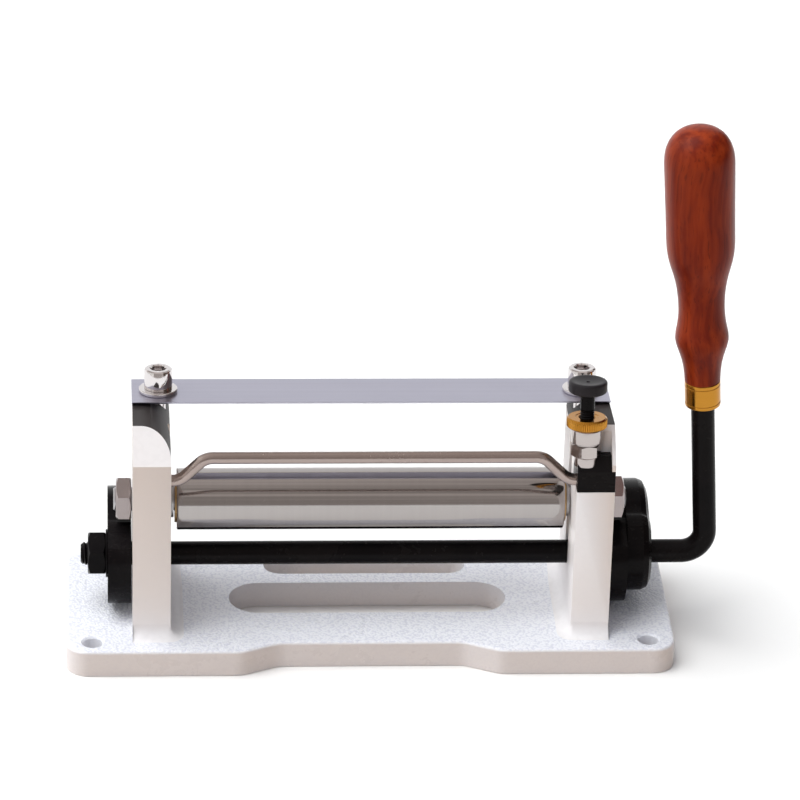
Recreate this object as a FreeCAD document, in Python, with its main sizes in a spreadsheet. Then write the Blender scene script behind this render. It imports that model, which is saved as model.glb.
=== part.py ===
import FreeCAD, Part
import math
import os
import re
import Sketcher
from FreeCAD import Placement, Rotation, Vector

# Bench leather splitting machine: a cast frame of a base plate and two posts carries a fixed blade;
# a lever with two snail cams lifts the roller's axle in the posts' slots, under the blade's edge.
# Frame: origin at the centre of the base plate's underside, X along the blade, Y to the rear, Z up.

doc = FreeCAD.newDocument("leather_splitter")
sheet = doc.addObject("Spreadsheet::Sheet", "Sizes")

# Driving dimensions, in millimetres and degrees: alias, value, meaning
SIZES = [
    ("base_width", 245, "base plate, left to right"),
    ("base_depth", 84, "base plate, front to rear"),
    ("base_thick", 11, "base plate, thickness"),
    ("base_corner", 9, "base plate, corner radius in plan"),
    ("base_edge", 1.2, "base plate, rounding of the top edges"),
    ("recess_depth", 7, "hollow of the front edge, depth"),
    ("recess_half", 37, "hollow of the front edge, half its flat length"),
    ("recess_run", 15, "hollow of the front edge, length of each S-bend"),
    ("recess_bend", 11.25, "hollow of the front edge, radius of its bends"),
    ("hole_spacing_x", 223.5, "bolt holes, left to right"),
    ("hole_spacing_y", 67.4, "bolt holes, front to rear"),
    ("hole_dia", 8, "bolt holes, diameter"),
    ("hole_sink", 0.7, "bolt holes, chamfer at the top"),
    ("front_slot_length", 113, "front slot, overall length"),
    ("front_slot_width", 25, "front slot, width"),
    ("front_slot_rear", 1.6, "front slot, centre behind the plate's centre"),
    ("rear_slot_length", 83, "rear slot, overall length"),
    ("rear_slot_width", 14, "rear slot, width"),
    ("slot_web", 7.5, "web between the two slots"),
    ("post_gap", 161.2, "clear width between the posts"),
    ("post_thick", 15.2, "posts, left to right"),
    ("post_front", 29, "front face of the posts, ahead of the lever's axis"),
    ("post_rear", 27, "rear face of the posts, behind the lever's axis"),
    ("shoulder_drop", 12.4, "top of the posts' upright front face, below the seat's front edge"),
    ("slope_run", 11.3, "depth of the sloping front above the shoulder"),
    ("seat_height", 100.1, "front edge of the blade seat, above the table"),
    ("seat_tilt", 5, "fall of the blade seat to the rear, degrees"),
    ("seat_round", 12, "rounding of the seat's inner edge"),
    ("foot_spread", 2, "foot skirt, width beyond the post"),
    ("foot_height", 3, "foot skirt, height"),
    ("foot_rear", 6, "foot, length behind the post's rear face"),
    ("foot_rise", 16, "foot, height where it meets the post's rear face"),
    ("lever_height", 33, "lever's axis above the table"),
    ("rod_dia", 9.5, "lever rod and roller axle, diameter"),
    ("slide_gap", 0.1, "rod and axle in the posts' slots, radial clearance"),
    ("roller_rise", 24.9, "roller's axis above the lever's axis at rest"),
    ("axis_drop", 14.6, "roller's axis at full lift, below the seat's front edge"),
    ("slot_end_gap", 1, "slot above the axle at full lift"),
    ("roller_dia", 25, "roller, outside diameter"),
    ("roller_length", 156, "roller, length"),
    ("roller_bore", 15, "roller, bore"),
    ("roller_edge", 0.6, "roller, chamfer at each end"),
    ("bush_length", 14, "roller bushes, length inside the roller"),
    ("bush_flange_dia", 19, "roller bushes, flange diameter"),
    ("bush_flange", 0.8, "roller bushes, flange thickness"),
    ("run_gap", 0.05, "roller bushes on the axle, radial clearance"),
    ("side_gap", 0.4, "gap between pieces that move past each other"),
    ("spacer_dia", 15, "axle spacers, diameter"),
    ("nut_flats", 16.6, "hexagon nuts, across flats"),
    ("axle_nut_thick", 6.2, "axle nuts, thickness"),
    ("axle_stub", 1, "axle beyond its nuts"),
    ("cam_gap", 0.35, "cams below the axle nuts' corners"),
    ("cam_base", 20.2, "cams, radius of the round lower edge"),
    ("cam_tip", 4, "cams, rounding of the tip"),
    ("left_cam_thick", 9.5, "left cam, thickness"),
    ("right_cam_thick", 7.5, "right cam's plate, thickness"),
    ("hub_length", 17.9, "right cam's boss and lobe, length"),
    ("hub_base", 13.4, "right cam's boss, radius"),
    ("hub_flange_start", 8, "right cam's flange beyond the axle nut, from the cam's inner face"),
    ("hub_flange", 2.4, "right cam's flange, height above the working edge"),
    ("hub_round", 3.5, "right cam's boss, rounding of the outer edge"),
    ("cam_screw_dia", 5, "cam set screws, diameter"),
    ("cam_screw_sink", 2, "cam set screws, depth of the head below the cam's edge"),
    ("end_washer_thick", 0.8, "lever's end washer, thickness"),
    ("end_washer_dia", 19.5, "lever's end washer, diameter"),
    ("end_nut_thick", 7.2, "lever's end nut, thickness"),
    ("end_stub", 2.9, "lever rod beyond its end nut"),
    ("lever_reach", 137.2, "lever's upright arm, from the middle of the machine"),
    ("lever_bend", 9.3, "lever's bend, centre-line radius"),
    ("lever_lean", 3.75, "lean of the upright arm towards the machine, degrees"),
    ("ferrule_start", 67.4, "ferrule's lower end above the lever's axis"),
    ("ferrule_dia", 14.4, "ferrule, diameter"),
    ("ferrule_length", 11, "ferrule, length"),
    ("grip_length", 110.4, "wooden grip above the ferrule"),
    ("grip_dia", 28, "wooden grip, widest diameter"),
    ("grip_shoulder_dia", 27.2, "wooden grip, diameter above the waist"),
    ("grip_waist_dia", 18.5, "wooden grip, diameter of the waist"),
    ("grip_bead_dia", 21.6, "wooden grip, diameter of the bead"),
    ("tang_length", 70, "lever rod inside the ferrule and grip"),
    ("tang_gap", 0.05, "lever rod in the grip, radial clearance"),
    ("pin_dia", 2.4, "pins of the ferrule and the guard block, diameter"),
    ("blade_width", 192, "blade, left to right"),
    ("blade_depth", 25, "blade, front to rear"),
    ("blade_thick", 1.6, "blade, thickness"),
    ("blade_bevel", 2.2, "blade, length of the ground bevel"),
    ("blade_edge", 0.25, "blade, thickness left at the cutting edge"),
    ("blade_setback", 20.7, "cutting edge behind the seat's front edge, along the seat"),
    ("screw_spacing", 170.6, "blade screws, left to right"),
    ("screw_setback", 12.2, "blade screws behind the cutting edge"),
    ("screw_dia", 6, "blade screws, thread"),
    ("screw_gap", 0.2, "clearance round threads"),
    ("screw_length", 20, "blade screws, length below the head"),
    ("head_dia", 11.4, "blade screws, head diameter"),
    ("head_height", 8.4, "blade screws, head height"),
    ("head_chamfer", 0.6, "blade screws, chamfer of the head's rim"),
    ("socket_flats", 5.6, "blade screws, hexagon socket across flats"),
    ("socket_depth", 4, "blade screws, depth of the socket"),
    ("washer_dia", 15.6, "blade washers, diameter"),
    ("washer_thick", 1.6, "blade washers, thickness"),
    ("wire_dia", 4.8, "guard wire, diameter"),
    ("wire_drop", 20.9, "guard wire's ends, below the seat's front edge"),
    ("wire_front", 24.5, "guard wire's ends ahead of the lever's axis"),
    ("wire_rise", 10.1, "guard wire's middle above its ends"),
    ("wire_half", 64, "half the length of the guard wire's straight middle"),
    ("wire_bend", 7.5, "guard wire's bends, centre-line radius"),
    ("wire_grip", 9, "guard wire's ends inside the post and the block"),
    ("wire_gap", 0.08, "guard wire in its bores, radial clearance"),
    ("block_drop", 24.6, "guard block's lower face, below the blade seat's front edge"),
    ("block_depth", 17, "guard block, front to rear"),
    ("block_front", 9.3, "guard block, height of its upright front"),
    ("dowel_grip", 4, "guard block's dowel, length in the post"),
    ("dowel_side", 3.5, "guard block's dowel, from the post's outer face"),
    ("dowel_rise", 4, "guard block's dowel, above the block's lower face"),
    ("block_slope", 4.7, "guard block, height of its sloping front"),
    ("thumb_side", 84.1, "thumb screw, from the middle of the machine"),
    ("thumb_tilt", 8, "lean of the thumb screw to the rear, degrees"),
    ("stem_dia", 5.8, "thumb screw's stem, diameter"),
    ("stem_gap", 0.1, "thumb screw's stem in its thread, radial clearance"),
    ("pad_thick", 2.2, "brass pad under the thumb screw, thickness"),
    ("pad_gap", 0.3, "gap between the pad, the wire and the stem"),
    ("sleeve_dia", 12.4, "threaded sleeve, diameter"),
    ("sleeve_top", 21.8, "threaded sleeve's top, above the wire's axis along the screw"),
    ("sleeve_neck", 9.6, "threaded sleeve's shank in the block, diameter"),
    ("sleeve_shank", 4, "threaded sleeve's shank in the block, length"),
    ("wire_slope", 45, "guard wire's S-bends, slope in degrees"),
    ("pocket_wall", 1.5, "pocket above the guard block, wall left on the post's outer side"),
    ("pocket_depth", 9.5, "pocket above the guard block, depth from the post's front"),
    ("recess_clear", 1, "recess in the post round the sleeve, clearance"),
    ("lock_dia", 16.2, "lock nut, diameter"),
    ("lock_thick", 4.4, "lock nut, thickness"),
    ("lock_chamfer", 0.7, "lock nut, chamfer of both rims"),
    ("knob_height", 36.8, "thumb knob's underside, above the wire's axis along the screw"),
    ("knob_dia", 15.4, "thumb knob, diameter"),
    ("knob_thick", 4.8, "thumb knob, thickness"),
    ("knob_round", 1, "thumb knob, rounding of both rims"),
    ("knob_dish", 0.7, "thumb knob, depth of the dished top"),
    ("dish_dia", 12.3, "thumb knob, diameter of the dish"),
    ("dish_slope", 5.5, "thumb knob, width of the dish's sloping side per its depth"),
]
for row, (alias, value, meaning) in enumerate(SIZES, 1):
    sheet.set(f"A{row}", meaning)
    sheet.set(f"B{row}", str(value))
    sheet.setAlias(f"B{row}", alias)
doc.recompute()
ALIASES = {alias for alias, value, meaning in SIZES}
NODES = {}


def size(alias):
    """Value of one driving dimension."""
    return float(sheet.get(alias))


def formula(text):
    """An expression in which each alias is read from the sheet."""
    return re.sub(r"[A-Za-z_]\w*", lambda word: f"Sizes.{word[0]}" if word[0] in ALIASES else word[0], text)


def bind(item, **properties):
    """Tie properties of an object to expressions of the driving dimensions."""
    for name, text in properties.items():
        item.setExpression(name, formula(text))
    return item


def stand(item, x="0", y="0", z="0", turn=None):
    """Place an object: a fixed turn, then a position bound to the sheet."""
    if turn is not None:
        item.Placement = Placement(Vector(), turn)
    for axis, text in zip("xyz", (x, y, z)):
        item.setExpression(f".Placement.Base.{axis}", formula(text))
    return item


def node(item, label):
    """Name an object as one sub-part of the machine."""
    item.Label = label
    NODES[label] = item
    return item


# Turns that point a primitive's own Z axis along another axis of the machine
ALONG_X = Rotation(Vector(0, 1, 0), 90)
ALONG_MINUS_Z = Rotation(Vector(1, 0, 0), 180)
ALONG_Y = Rotation(Vector(1, 0, 0), -90)


def bar(name, diameter, length, x="0", y="0", z="0", turn=None):
    """Round bar that starts at a point and runs along its turned axis."""
    item = bind(doc.addObject("Part::Cylinder", name), Radius=f"({diameter}) / 2", Height=length)
    return stand(item, x, y, z, turn)


def hexagon(name, flats, length, x="0", y="0", z="0", turn=None):
    """Hexagonal prism that starts at a point and runs along its turned axis."""
    item = doc.addObject("Part::Prism", name)
    item.Polygon = 6
    bind(item, Circumradius=f"({flats}) / sqrt(3)", Height=length)
    return stand(item, x, y, z, turn)


def block(name, length, depth, height, x="0", y="0", z="0", turn=None):
    """Rectangular block from its lowest corner."""
    item = bind(doc.addObject("Part::Box", name), Length=length, Width=depth, Height=height)
    return stand(item, x, y, z, turn)


def fuse(name, *pieces):
    """One solid made of several that meet."""
    item = doc.addObject("Part::MultiFuse", name)
    item.Shapes = list(pieces)
    item.Refine = True
    return item


def cut(name, base, *tools):
    """A solid less one or more others."""
    item = doc.addObject("Part::Cut", name)
    item.Base = base
    item.Tool = tools[0] if len(tools) == 1 else fuse(f"{name}_tools", *tools)
    item.Refine = True
    return item


def several(name, *pieces):
    """Separate solids that share one node."""
    item = doc.addObject("Part::Compound", name)
    item.Links = list(pieces)
    return item


def ease(kind, name, base, amount, edges):
    """Fillet or chamfer on numbered edges of a primitive."""
    doc.recompute()
    item = doc.addObject(f"Part::{kind}", name)
    item.Base = base
    item.Edges = [(number, amount, amount) for number in edges]
    return item


def new_body(name):
    """An empty body."""
    return doc.addObject("PartDesign::Body", name)


def new_sketch(body, name, role, offset="0"):
    """Sketch on one of the body's own origin planes, moved along the plane's normal."""
    sketch = body.newObject("Sketcher::SketchObject", name)
    plane = next(feature for feature in body.Origin.OriginFeatures if feature.Role == role)
    sketch.AttachmentSupport = (plane, "")
    sketch.MapMode = "FlatFace"
    sketch.setExpression(".AttachmentOffset.Base.z", formula(offset))
    return sketch


def polygon(sketch, corners):
    """Closed outline whose corners are pairs of expressions, each bound to the sheet."""
    places = [Vector(evaluate(across), evaluate(up), 0) for across, up in corners]
    count = len(places)
    first = sketch.GeometryCount
    for index in range(count):
        sketch.addGeometry(Part.LineSegment(places[index], places[(index + 1) % count]), False)
    for index in range(count):
        following = first + (index + 1) % count
        sketch.addConstraint(Sketcher.Constraint("Coincident", first + index, 2, following, 1))
    for index, pair in enumerate(corners):
        for kind, text, place in (("DistanceX", pair[0], places[index].x), ("DistanceY", pair[1], places[index].y)):
            number = sketch.addConstraint(Sketcher.Constraint(kind, -1, 1, first + index, 1, place))
            sketch.setExpression(f"Constraints[{number}]", formula(text))


def evaluate(text):
    """Number that an expression of the driving dimensions stands for."""
    words = {alias: size(alias) for alias in ALIASES if re.search(rf"\b{alias}\b", text)}
    return float(sheet.evalExpression(re.sub(r"[A-Za-z_]\w*", lambda w: repr(words.get(w[0], w[0])).strip("'"), text)))


def pad(body, sketch, name, length):
    """Solid raised from a sketch along its normal."""
    feature = body.newObject("PartDesign::Pad", name)
    feature.Profile = sketch
    return bind(feature, Length=length)


def edges_where(feature, test):
    """Names of the edges whose middle and direction pass a test."""
    names = []
    for number, edge in enumerate(feature.Shape.Edges, 1):
        start, end = edge.Vertexes[0].Point, edge.Vertexes[-1].Point
        middle = edge.valueAt((edge.FirstParameter + edge.LastParameter) / 2)
        if test(middle, end - start):
            names.append(f"Edge{number}")
    return names


def soften(body, base, name, radius, test, kind="PartDesign::Fillet"):
    """Fillet or chamfer on the edges that pass a test."""
    doc.recompute()
    feature = body.newObject(kind, name)
    feature.Base = (base, edges_where(base, test))
    return bind(feature, **{"Radius" if kind.endswith("Fillet") else "Size": radius})


# Expressions that several pieces share
POST_INNER = "(post_gap / 2)"
POST_OUTER = "(post_gap / 2 + post_thick)"
SEAT_FRONT = "(slope_run - post_front)"
ROLLER_REST = "(lever_height + roller_rise)"
NUT_INNER = f"({POST_OUTER} + side_gap)"
ROD_BORE = "rod_dia + 2 * tang_gap"
ROLLER_LIFT = f"(seat_height - axis_drop - {ROLLER_REST})"
SHOULDER = "(seat_height - shoulder_drop)"
WIRE_HEIGHT = "(seat_height - wire_drop)"
BLOCK_FOOT = "(seat_height - block_drop)"
BLOCK_RUN = "(block_slope * slope_run / shoulder_drop)"
BLOCK_SHELF = f"({BLOCK_FOOT} + block_front + block_slope)"
BLOCK_TOP = (f"(({BLOCK_RUN} - post_front + wire_front) * sin(thumb_tilt * 1 deg)"
             f" + ({BLOCK_SHELF} - {WIRE_HEIGHT}) * cos(thumb_tilt * 1 deg))")


def slot_tool(name, length, width, rear):
    """Stadium-shaped cutter through the base plate, its long way along X."""
    reach = f"(({length}) - ({width})) / 2"
    middle = block(f"{name}_middle", f"2 * ({reach})", width, "3 * base_thick",
                   f"-({reach})", f"{rear} - ({width}) / 2", "-base_thick")
    left = bar(f"{name}_left", width, "3 * base_thick", f"-({reach})", rear, "-base_thick")
    right = bar(f"{name}_right", width, "3 * base_thick", reach, rear, "-base_thick")
    return fuse(name, middle, left, right)


def make_base():
    """Cast base plate: rounded corners, hollow front edge, two slots and four bolt holes."""
    body = new_body("base_casting")
    outline = new_sketch(body, "base_outline", "XY_Plane")
    front = "-base_depth / 2"
    hollow = "recess_depth - base_depth / 2"
    polygon(outline, [("-base_width / 2", front), ("-recess_half - recess_run", front),
                      ("-recess_half", hollow), ("recess_half", hollow),
                      ("recess_half + recess_run", front), ("base_width / 2", front),
                      ("base_width / 2", "base_depth / 2"), ("-base_width / 2", "base_depth / 2")])
    plate = pad(body, outline, "base_pad", "base_thick")
    corner_x = size("base_width") / 2 - 1
    rounded = soften(body, plate, "base_corners", "base_corner",
                     lambda middle, way: abs(way.z) > 1 and abs(middle.x) > corner_x)
    bend = soften(body, rounded, "recess_bends", "recess_bend",
                  lambda middle, way: abs(way.z) > 1 and abs(middle.x) < corner_x - size("base_corner"))
    top = size("base_thick")
    eased = soften(body, bend, "base_edges", "base_edge", lambda middle, way: middle.z > top - 0.01)
    body.Tip = eased
    rear_slot = "front_slot_rear + front_slot_width / 2 + slot_web + rear_slot_width / 2"
    tools = [slot_tool("front_slot", "front_slot_length", "front_slot_width", "front_slot_rear"),
             slot_tool("rear_slot", "rear_slot_length", "rear_slot_width", rear_slot)]
    for number, (side, end) in enumerate(((-1, -1), (1, -1), (-1, 1), (1, 1)), 1):
        spot = (f"{side} * hole_spacing_x / 2", f"{end} * hole_spacing_y / 2")
        tools.append(bar(f"bolt_hole_{number}", "hole_dia", "3 * base_thick", *spot, "-base_thick"))
        sink = bind(doc.addObject("Part::Cone", f"bolt_sink_{number}"), Radius1="hole_dia / 2 - hole_sink",
                    Radius2="hole_dia / 2 + 2 * hole_sink", Height="3 * hole_sink")
        tools.append(stand(sink, *spot, "base_thick - 2 * hole_sink"))
    node(cut("base_plate", body, *tools), "base_plate")


def make_post(side, label, *reliefs):
    """Cast post with a slot for the lever and the axle, a sloping front and a tilted blade seat."""
    body = new_body(f"{label}_casting")
    face = POST_INNER if side > 0 else f"-{POST_OUTER}"
    outline = new_sketch(body, f"{label}_outline", "YZ_Plane", face)
    seat_back = f"seat_height - (post_rear - {SEAT_FRONT}) * tan(seat_tilt * 1 deg)"
    polygon(outline, [("-post_front", "base_thick"), ("-post_front", SHOULDER),
                      (SEAT_FRONT, "seat_height"), ("post_rear", seat_back),
                      ("post_rear", "base_thick + foot_rise"), ("post_rear + foot_rear", "base_thick + foot_height"),
                      ("post_rear + foot_rear", "base_thick")])
    column = pad(body, outline, f"{label}_pad", "post_thick")
    inner = side * size("post_gap") / 2
    high = evaluate(SHOULDER)
    body.Tip = soften(body, column, f"{label}_seat_round", "seat_round",
                      lambda middle, way: abs(middle.x - inner) < 0.01 and middle.z > high + 1 and middle.y > 0
                      and abs(way.y) > 5)
    skirt = doc.addObject("Part::Wedge", f"{label}_skirt")
    half = "post_thick / 2"
    spread = ("0", "foot_spread") if side > 0 else ("foot_spread", "0")
    bind(skirt, Xmin=f"-({half} + {spread[0]})", Xmax=f"{half} + {spread[1]}", X2min=f"-{half}", X2max=half,
         Ymin="0", Ymax="foot_height", Zmin="-(post_front + foot_spread)", Z2min="-post_front",
         Zmax="post_rear + foot_rear + foot_spread", Z2max="post_rear + foot_rear")
    middle = f"{side} * (post_gap + post_thick) / 2"
    stand(skirt, middle, "0", "base_thick", Rotation(Vector(1, 1, 1), 120) * Rotation(Vector(0, 1, 0), 90))
    whole = fuse(f"{label}_whole", body, skirt)
    width = "rod_dia + 2 * slide_gap"
    climb = f"roller_rise + {ROLLER_LIFT} + slot_end_gap"
    start = f"{face} - foot_spread"
    through = "post_thick + 2 * foot_spread"
    slot = [block(f"{label}_slot", through, width, climb, start, f"-({width}) / 2", "lever_height"),
            bar(f"{label}_slot_foot", width, through, start, "0", "lever_height", ALONG_X),
            bar(f"{label}_slot_top", width, through, start, "0", f"lever_height + {climb}", ALONG_X)]
    node(cut(label, whole, *slot, *reliefs), label)


def on_seat(item, side, along, above):
    """Place a piece on the tilted blade seat, from the seat's front edge."""
    slope = "seat_tilt * 1 deg"
    stand(item, side, f"{SEAT_FRONT} + ({along}) * cos({slope}) + ({above}) * sin({slope})",
          f"seat_height - ({along}) * sin({slope}) + ({above}) * cos({slope})")
    item.Placement = Placement(item.Placement.Base, Rotation(Vector(1, 0, 0), -size("seat_tilt")))
    return item


def make_blade():
    """Flat blade with a bevel ground under its front edge, and its screws and washers."""
    body = new_body("blade_blank")
    section = new_sketch(body, "blade_section", "YZ_Plane", "-blade_width / 2")
    polygon(section, [("0", "blade_thick - blade_edge"), ("0", "blade_thick"), ("blade_depth", "blade_thick"),
                      ("blade_depth", "0"), ("blade_bevel", "0")])
    body.Tip = pad(body, section, "blade_pad", "blade_width")
    holes = [bar(f"blade_hole_{number}", "screw_dia + 2 * screw_gap", "3 * blade_thick",
                 f"{side} * screw_spacing / 2", "screw_setback", "-blade_thick")
             for number, side in ((1, -1), (2, 1))]
    node(on_seat(cut("blade", body, *holes), "0", "blade_setback", "0"), "blade")
    screws = []
    washers = []
    for number, side in ((1, -1), (2, 1)):
        spot = f"{side} * screw_spacing / 2"
        head = bar(f"head_{number}", "head_dia", "head_height", spot)
        eased = ease("Chamfer", f"head_eased_{number}", head, size("head_chamfer"), [1, 3])
        socket = hexagon(f"socket_{number}", "socket_flats", "socket_depth + head_height", spot, "0",
                         "head_height - socket_depth")
        shank = bar(f"shank_{number}", "screw_dia", "screw_length", spot, "0", "0", ALONG_MINUS_Z)
        screws.append(fuse(f"blade_screw_{number}", cut(f"drilled_head_{number}", eased, socket), shank))
        disc = bar(f"washer_disc_{number}", "washer_dia", "washer_thick", spot)
        hole = bar(f"washer_hole_{number}", "screw_dia + 2 * screw_gap", "3 * washer_thick", spot, "0",
                   "-washer_thick")
        washers.append(cut(f"blade_washer_{number}", disc, hole))
    along = "blade_setback + screw_setback"
    node(on_seat(several("blade_screws", *screws), "0", along, "blade_thick + washer_thick"), "blade_screws")
    node(on_seat(several("blade_washers", *washers), "0", along, "blade_thick"), "blade_washers")


def screw_holes(side):
    """Tapped hole in a post's seat for a blade screw."""
    hole = bar(f"tapped_{'right' if side > 0 else 'left'}", "screw_dia + 2 * screw_gap",
               "screw_length + 2 * blade_thick", "0", "0", "0", ALONG_MINUS_Z)
    slope = "seat_tilt * 1 deg"
    along = "(blade_setback + screw_setback)"
    stand(hole, f"{side} * screw_spacing / 2", f"{SEAT_FRONT} + {along} * cos({slope}) + blade_thick * sin({slope})",
          f"seat_height - {along} * sin({slope}) + blade_thick * cos({slope})")
    hole.Placement = Placement(hole.Placement.Base, Rotation(Vector(1, 0, 0), 180 - size("seat_tilt")))
    return hole


def on_thumb_axis(item, above):
    """Place a piece on the thumb screw's leaning axis, from the guard wire's axis."""
    lean = "thumb_tilt * 1 deg"
    stand(item, "thumb_side", f"-wire_front + ({above}) * sin({lean})", f"{WIRE_HEIGHT} + ({above}) * cos({lean})")
    item.Placement = Placement(item.Placement.Base, Rotation(Vector(1, 0, 0), -size("thumb_tilt")))
    return item


def block_outline(body, name, offset):
    """Section of the guard block, upright below and sloping like the post above."""
    sketch = new_sketch(body, name, "YZ_Plane", offset)
    polygon(sketch, [("-post_front", BLOCK_FOOT), ("-post_front", f"{BLOCK_FOOT} + block_front"),
                     (f"{BLOCK_RUN} - post_front", BLOCK_SHELF),
                     ("block_depth - post_front",
                      f"{BLOCK_SHELF} - (block_depth - {BLOCK_RUN}) * tan(thumb_tilt * 1 deg)"),
                     ("block_depth - post_front", BLOCK_FOOT)])
    return sketch


def make_guard():
    """Guard block, sleeve, dowel, pad, thumb screw and lock nut; returns the cutters that make room in the post."""
    body = new_body("guard_block_blank")
    body.Tip = pad(body, block_outline(body, "guard_block_section", POST_INNER), "guard_block_pad", "post_thick")
    stem_bore = on_thumb_axis(bar("stem_bore", "stem_dia + 2 * stem_gap", "sleeve_top"), "0")
    shank_start = f"({BLOCK_TOP} - sleeve_shank)"
    shank_bore = on_thumb_axis(bar("shank_bore", "sleeve_neck", "sleeve_top"), shank_start)
    wire_bore = bar("wire_bore", "wire_dia + 2 * wire_gap", "wire_grip + 1", POST_INNER, "-wire_front",
                    WIRE_HEIGHT, ALONG_X)
    dowel_length = "block_depth / 2 + dowel_grip"
    dowel_spot = (f"{POST_OUTER} - dowel_side", "block_depth / 2 - post_front", f"{BLOCK_FOOT} + dowel_rise")
    dowel_bore = bar("dowel_bore", "pin_dia", dowel_length, *dowel_spot, ALONG_Y)
    node(cut("guard_block", body, stem_bore, shank_bore, wire_bore, dowel_bore), "guard_block")
    node(bar("guard_dowel", "pin_dia", dowel_length, *dowel_spot, ALONG_Y), "guard_dowel")

    collar = on_thumb_axis(bar("sleeve_collar", "sleeve_dia", f"sleeve_top - {shank_start} - sleeve_shank"),
                           f"{shank_start} + sleeve_shank")
    shank = on_thumb_axis(bar("sleeve_shank_bar", "sleeve_neck", "sleeve_shank"), shank_start)
    bore = on_thumb_axis(bar("sleeve_bore", "stem_dia + 2 * stem_gap", "2 * sleeve_top"), "0")
    node(cut("guard_sleeve", fuse("sleeve_outside", collar, shank), bore), "guard_sleeve")

    pad_start = "wire_dia / 2 + pad_gap"
    node(on_thumb_axis(bar("screw_pad", "stem_dia - 2 * stem_gap", "pad_thick"), pad_start), "screw_pad")
    stem_start = f"({pad_start} + pad_thick + pad_gap)"
    node(on_thumb_axis(bar("thumb_stem", "stem_dia", f"knob_height - {stem_start}"), stem_start), "thumb_stem")
    disc = bar("knob_disc", "knob_dia", "knob_thick")
    eased = ease("Fillet", "knob_eased", disc, size("knob_round"), [1, 3])
    dish = bind(doc.addObject("Part::Cone", "knob_dish_tool"), Radius1="dish_dia / 2 - dish_slope * knob_dish",
                Radius2="dish_dia / 2 + dish_slope * knob_dish", Height="2 * knob_dish")
    stand(dish, "0", "0", "knob_thick - knob_dish")
    node(on_thumb_axis(cut("thumb_knob", eased, dish), "knob_height"), "thumb_knob")
    lock = bar("lock_disc", "lock_dia", "lock_thick")
    rim = ease("Chamfer", "lock_eased", lock, size("lock_chamfer"), [1, 3])
    lock_bore = bar("lock_bore", "stem_dia + 2 * stem_gap", "3 * lock_thick", "0", "0", "-lock_thick")
    node(on_thumb_axis(cut("lock_nut", rim, lock_bore), "sleeve_top + pad_gap"), "lock_nut")

    relief_body = new_body("block_relief")
    relief_body.Tip = pad(relief_body, block_outline(relief_body, "block_relief_section", f"{POST_INNER} - 1"),
                          "block_relief_pad", "post_thick + 2")
    sleeve_relief = on_thumb_axis(bar("sleeve_relief", "sleeve_dia + 2 * recess_clear", "2 * sleeve_top"),
                                  shank_start)
    dowel_relief = bar("dowel_relief", "pin_dia", dowel_length, *dowel_spot, ALONG_Y)
    pocket = block("block_pocket", "post_thick - pocket_wall + 1", "pocket_depth + 1",
                   "block_drop - block_front", f"{POST_INNER} - 1", "-post_front - 1",
                   f"{BLOCK_FOOT} + block_front")
    return relief_body, sleeve_relief, dowel_relief, pocket


def pipe(start, moves, radius):
    """Round bar along straight runs and arcs; each move is (direction, length, bend radius to the next)."""
    edges = []
    place = start
    for index, (way, length, bend) in enumerate(moves):
        way = Vector(way).normalize()
        end = place + way * length
        if index + 1 == len(moves):
            edges.append(Part.LineSegment(place, end).toShape())
            break
        following = Vector(moves[index + 1][0]).normalize()
        turn = way.getAngle(following)
        setback = bend * math.tan(turn / 2)
        leave = end - way * setback
        join = end + following * setback
        inward = (following - way).normalize()
        middle = end + inward * (bend / math.cos(turn / 2) - bend)
        edges.append(Part.LineSegment(place, leave).toShape())
        edges.append(Part.Arc(leave, middle, join).toShape())
        place = join
        moves[index + 1] = (moves[index + 1][0], moves[index + 1][1] - setback, moves[index + 1][2])
    path = Part.Wire(edges)
    ring = Part.Wire(Part.makeCircle(radius, start, Vector(moves[0][0])))
    return path.makePipeShell([ring], True, False)


def make_wire():
    """Guard wire: two short ends on one axis, an S-bend at each, and a raised straight middle."""
    item = doc.addObject("Part::Feature", "guard_wire")
    inner = size("post_gap") / 2 + size("wire_grip")
    rise = size("wire_rise")
    bend = size("wire_bend")
    slope = size("wire_slope")
    run = rise / math.tan(math.radians(slope))
    corner = size("wire_half") + bend * math.tan(math.radians(slope / 2))
    climb = rise / math.sin(math.radians(slope))
    ahead, up = math.cos(math.radians(slope)), math.sin(math.radians(slope))
    start = Vector(-inner, 0, 0)
    moves = [((1, 0, 0), inner - corner - run, bend), ((ahead, 0, up), climb, bend), ((1, 0, 0), 2 * corner, bend),
             ((ahead, 0, -up), climb, bend), ((1, 0, 0), inner - corner - run, bend)]
    item.Shape = pipe(start, moves, size("wire_dia") / 2)
    stand(item, "0", "-wire_front", WIRE_HEIGHT)
    node(item, "guard_wire")


# Angles on a cam's outline, in degrees from the top towards the rear
CAM_LEAD = 5
CAM_NOTCH = -26
CAM_END = 96
CAM_UNDER = 138
CAM_FRONT = -56


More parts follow.
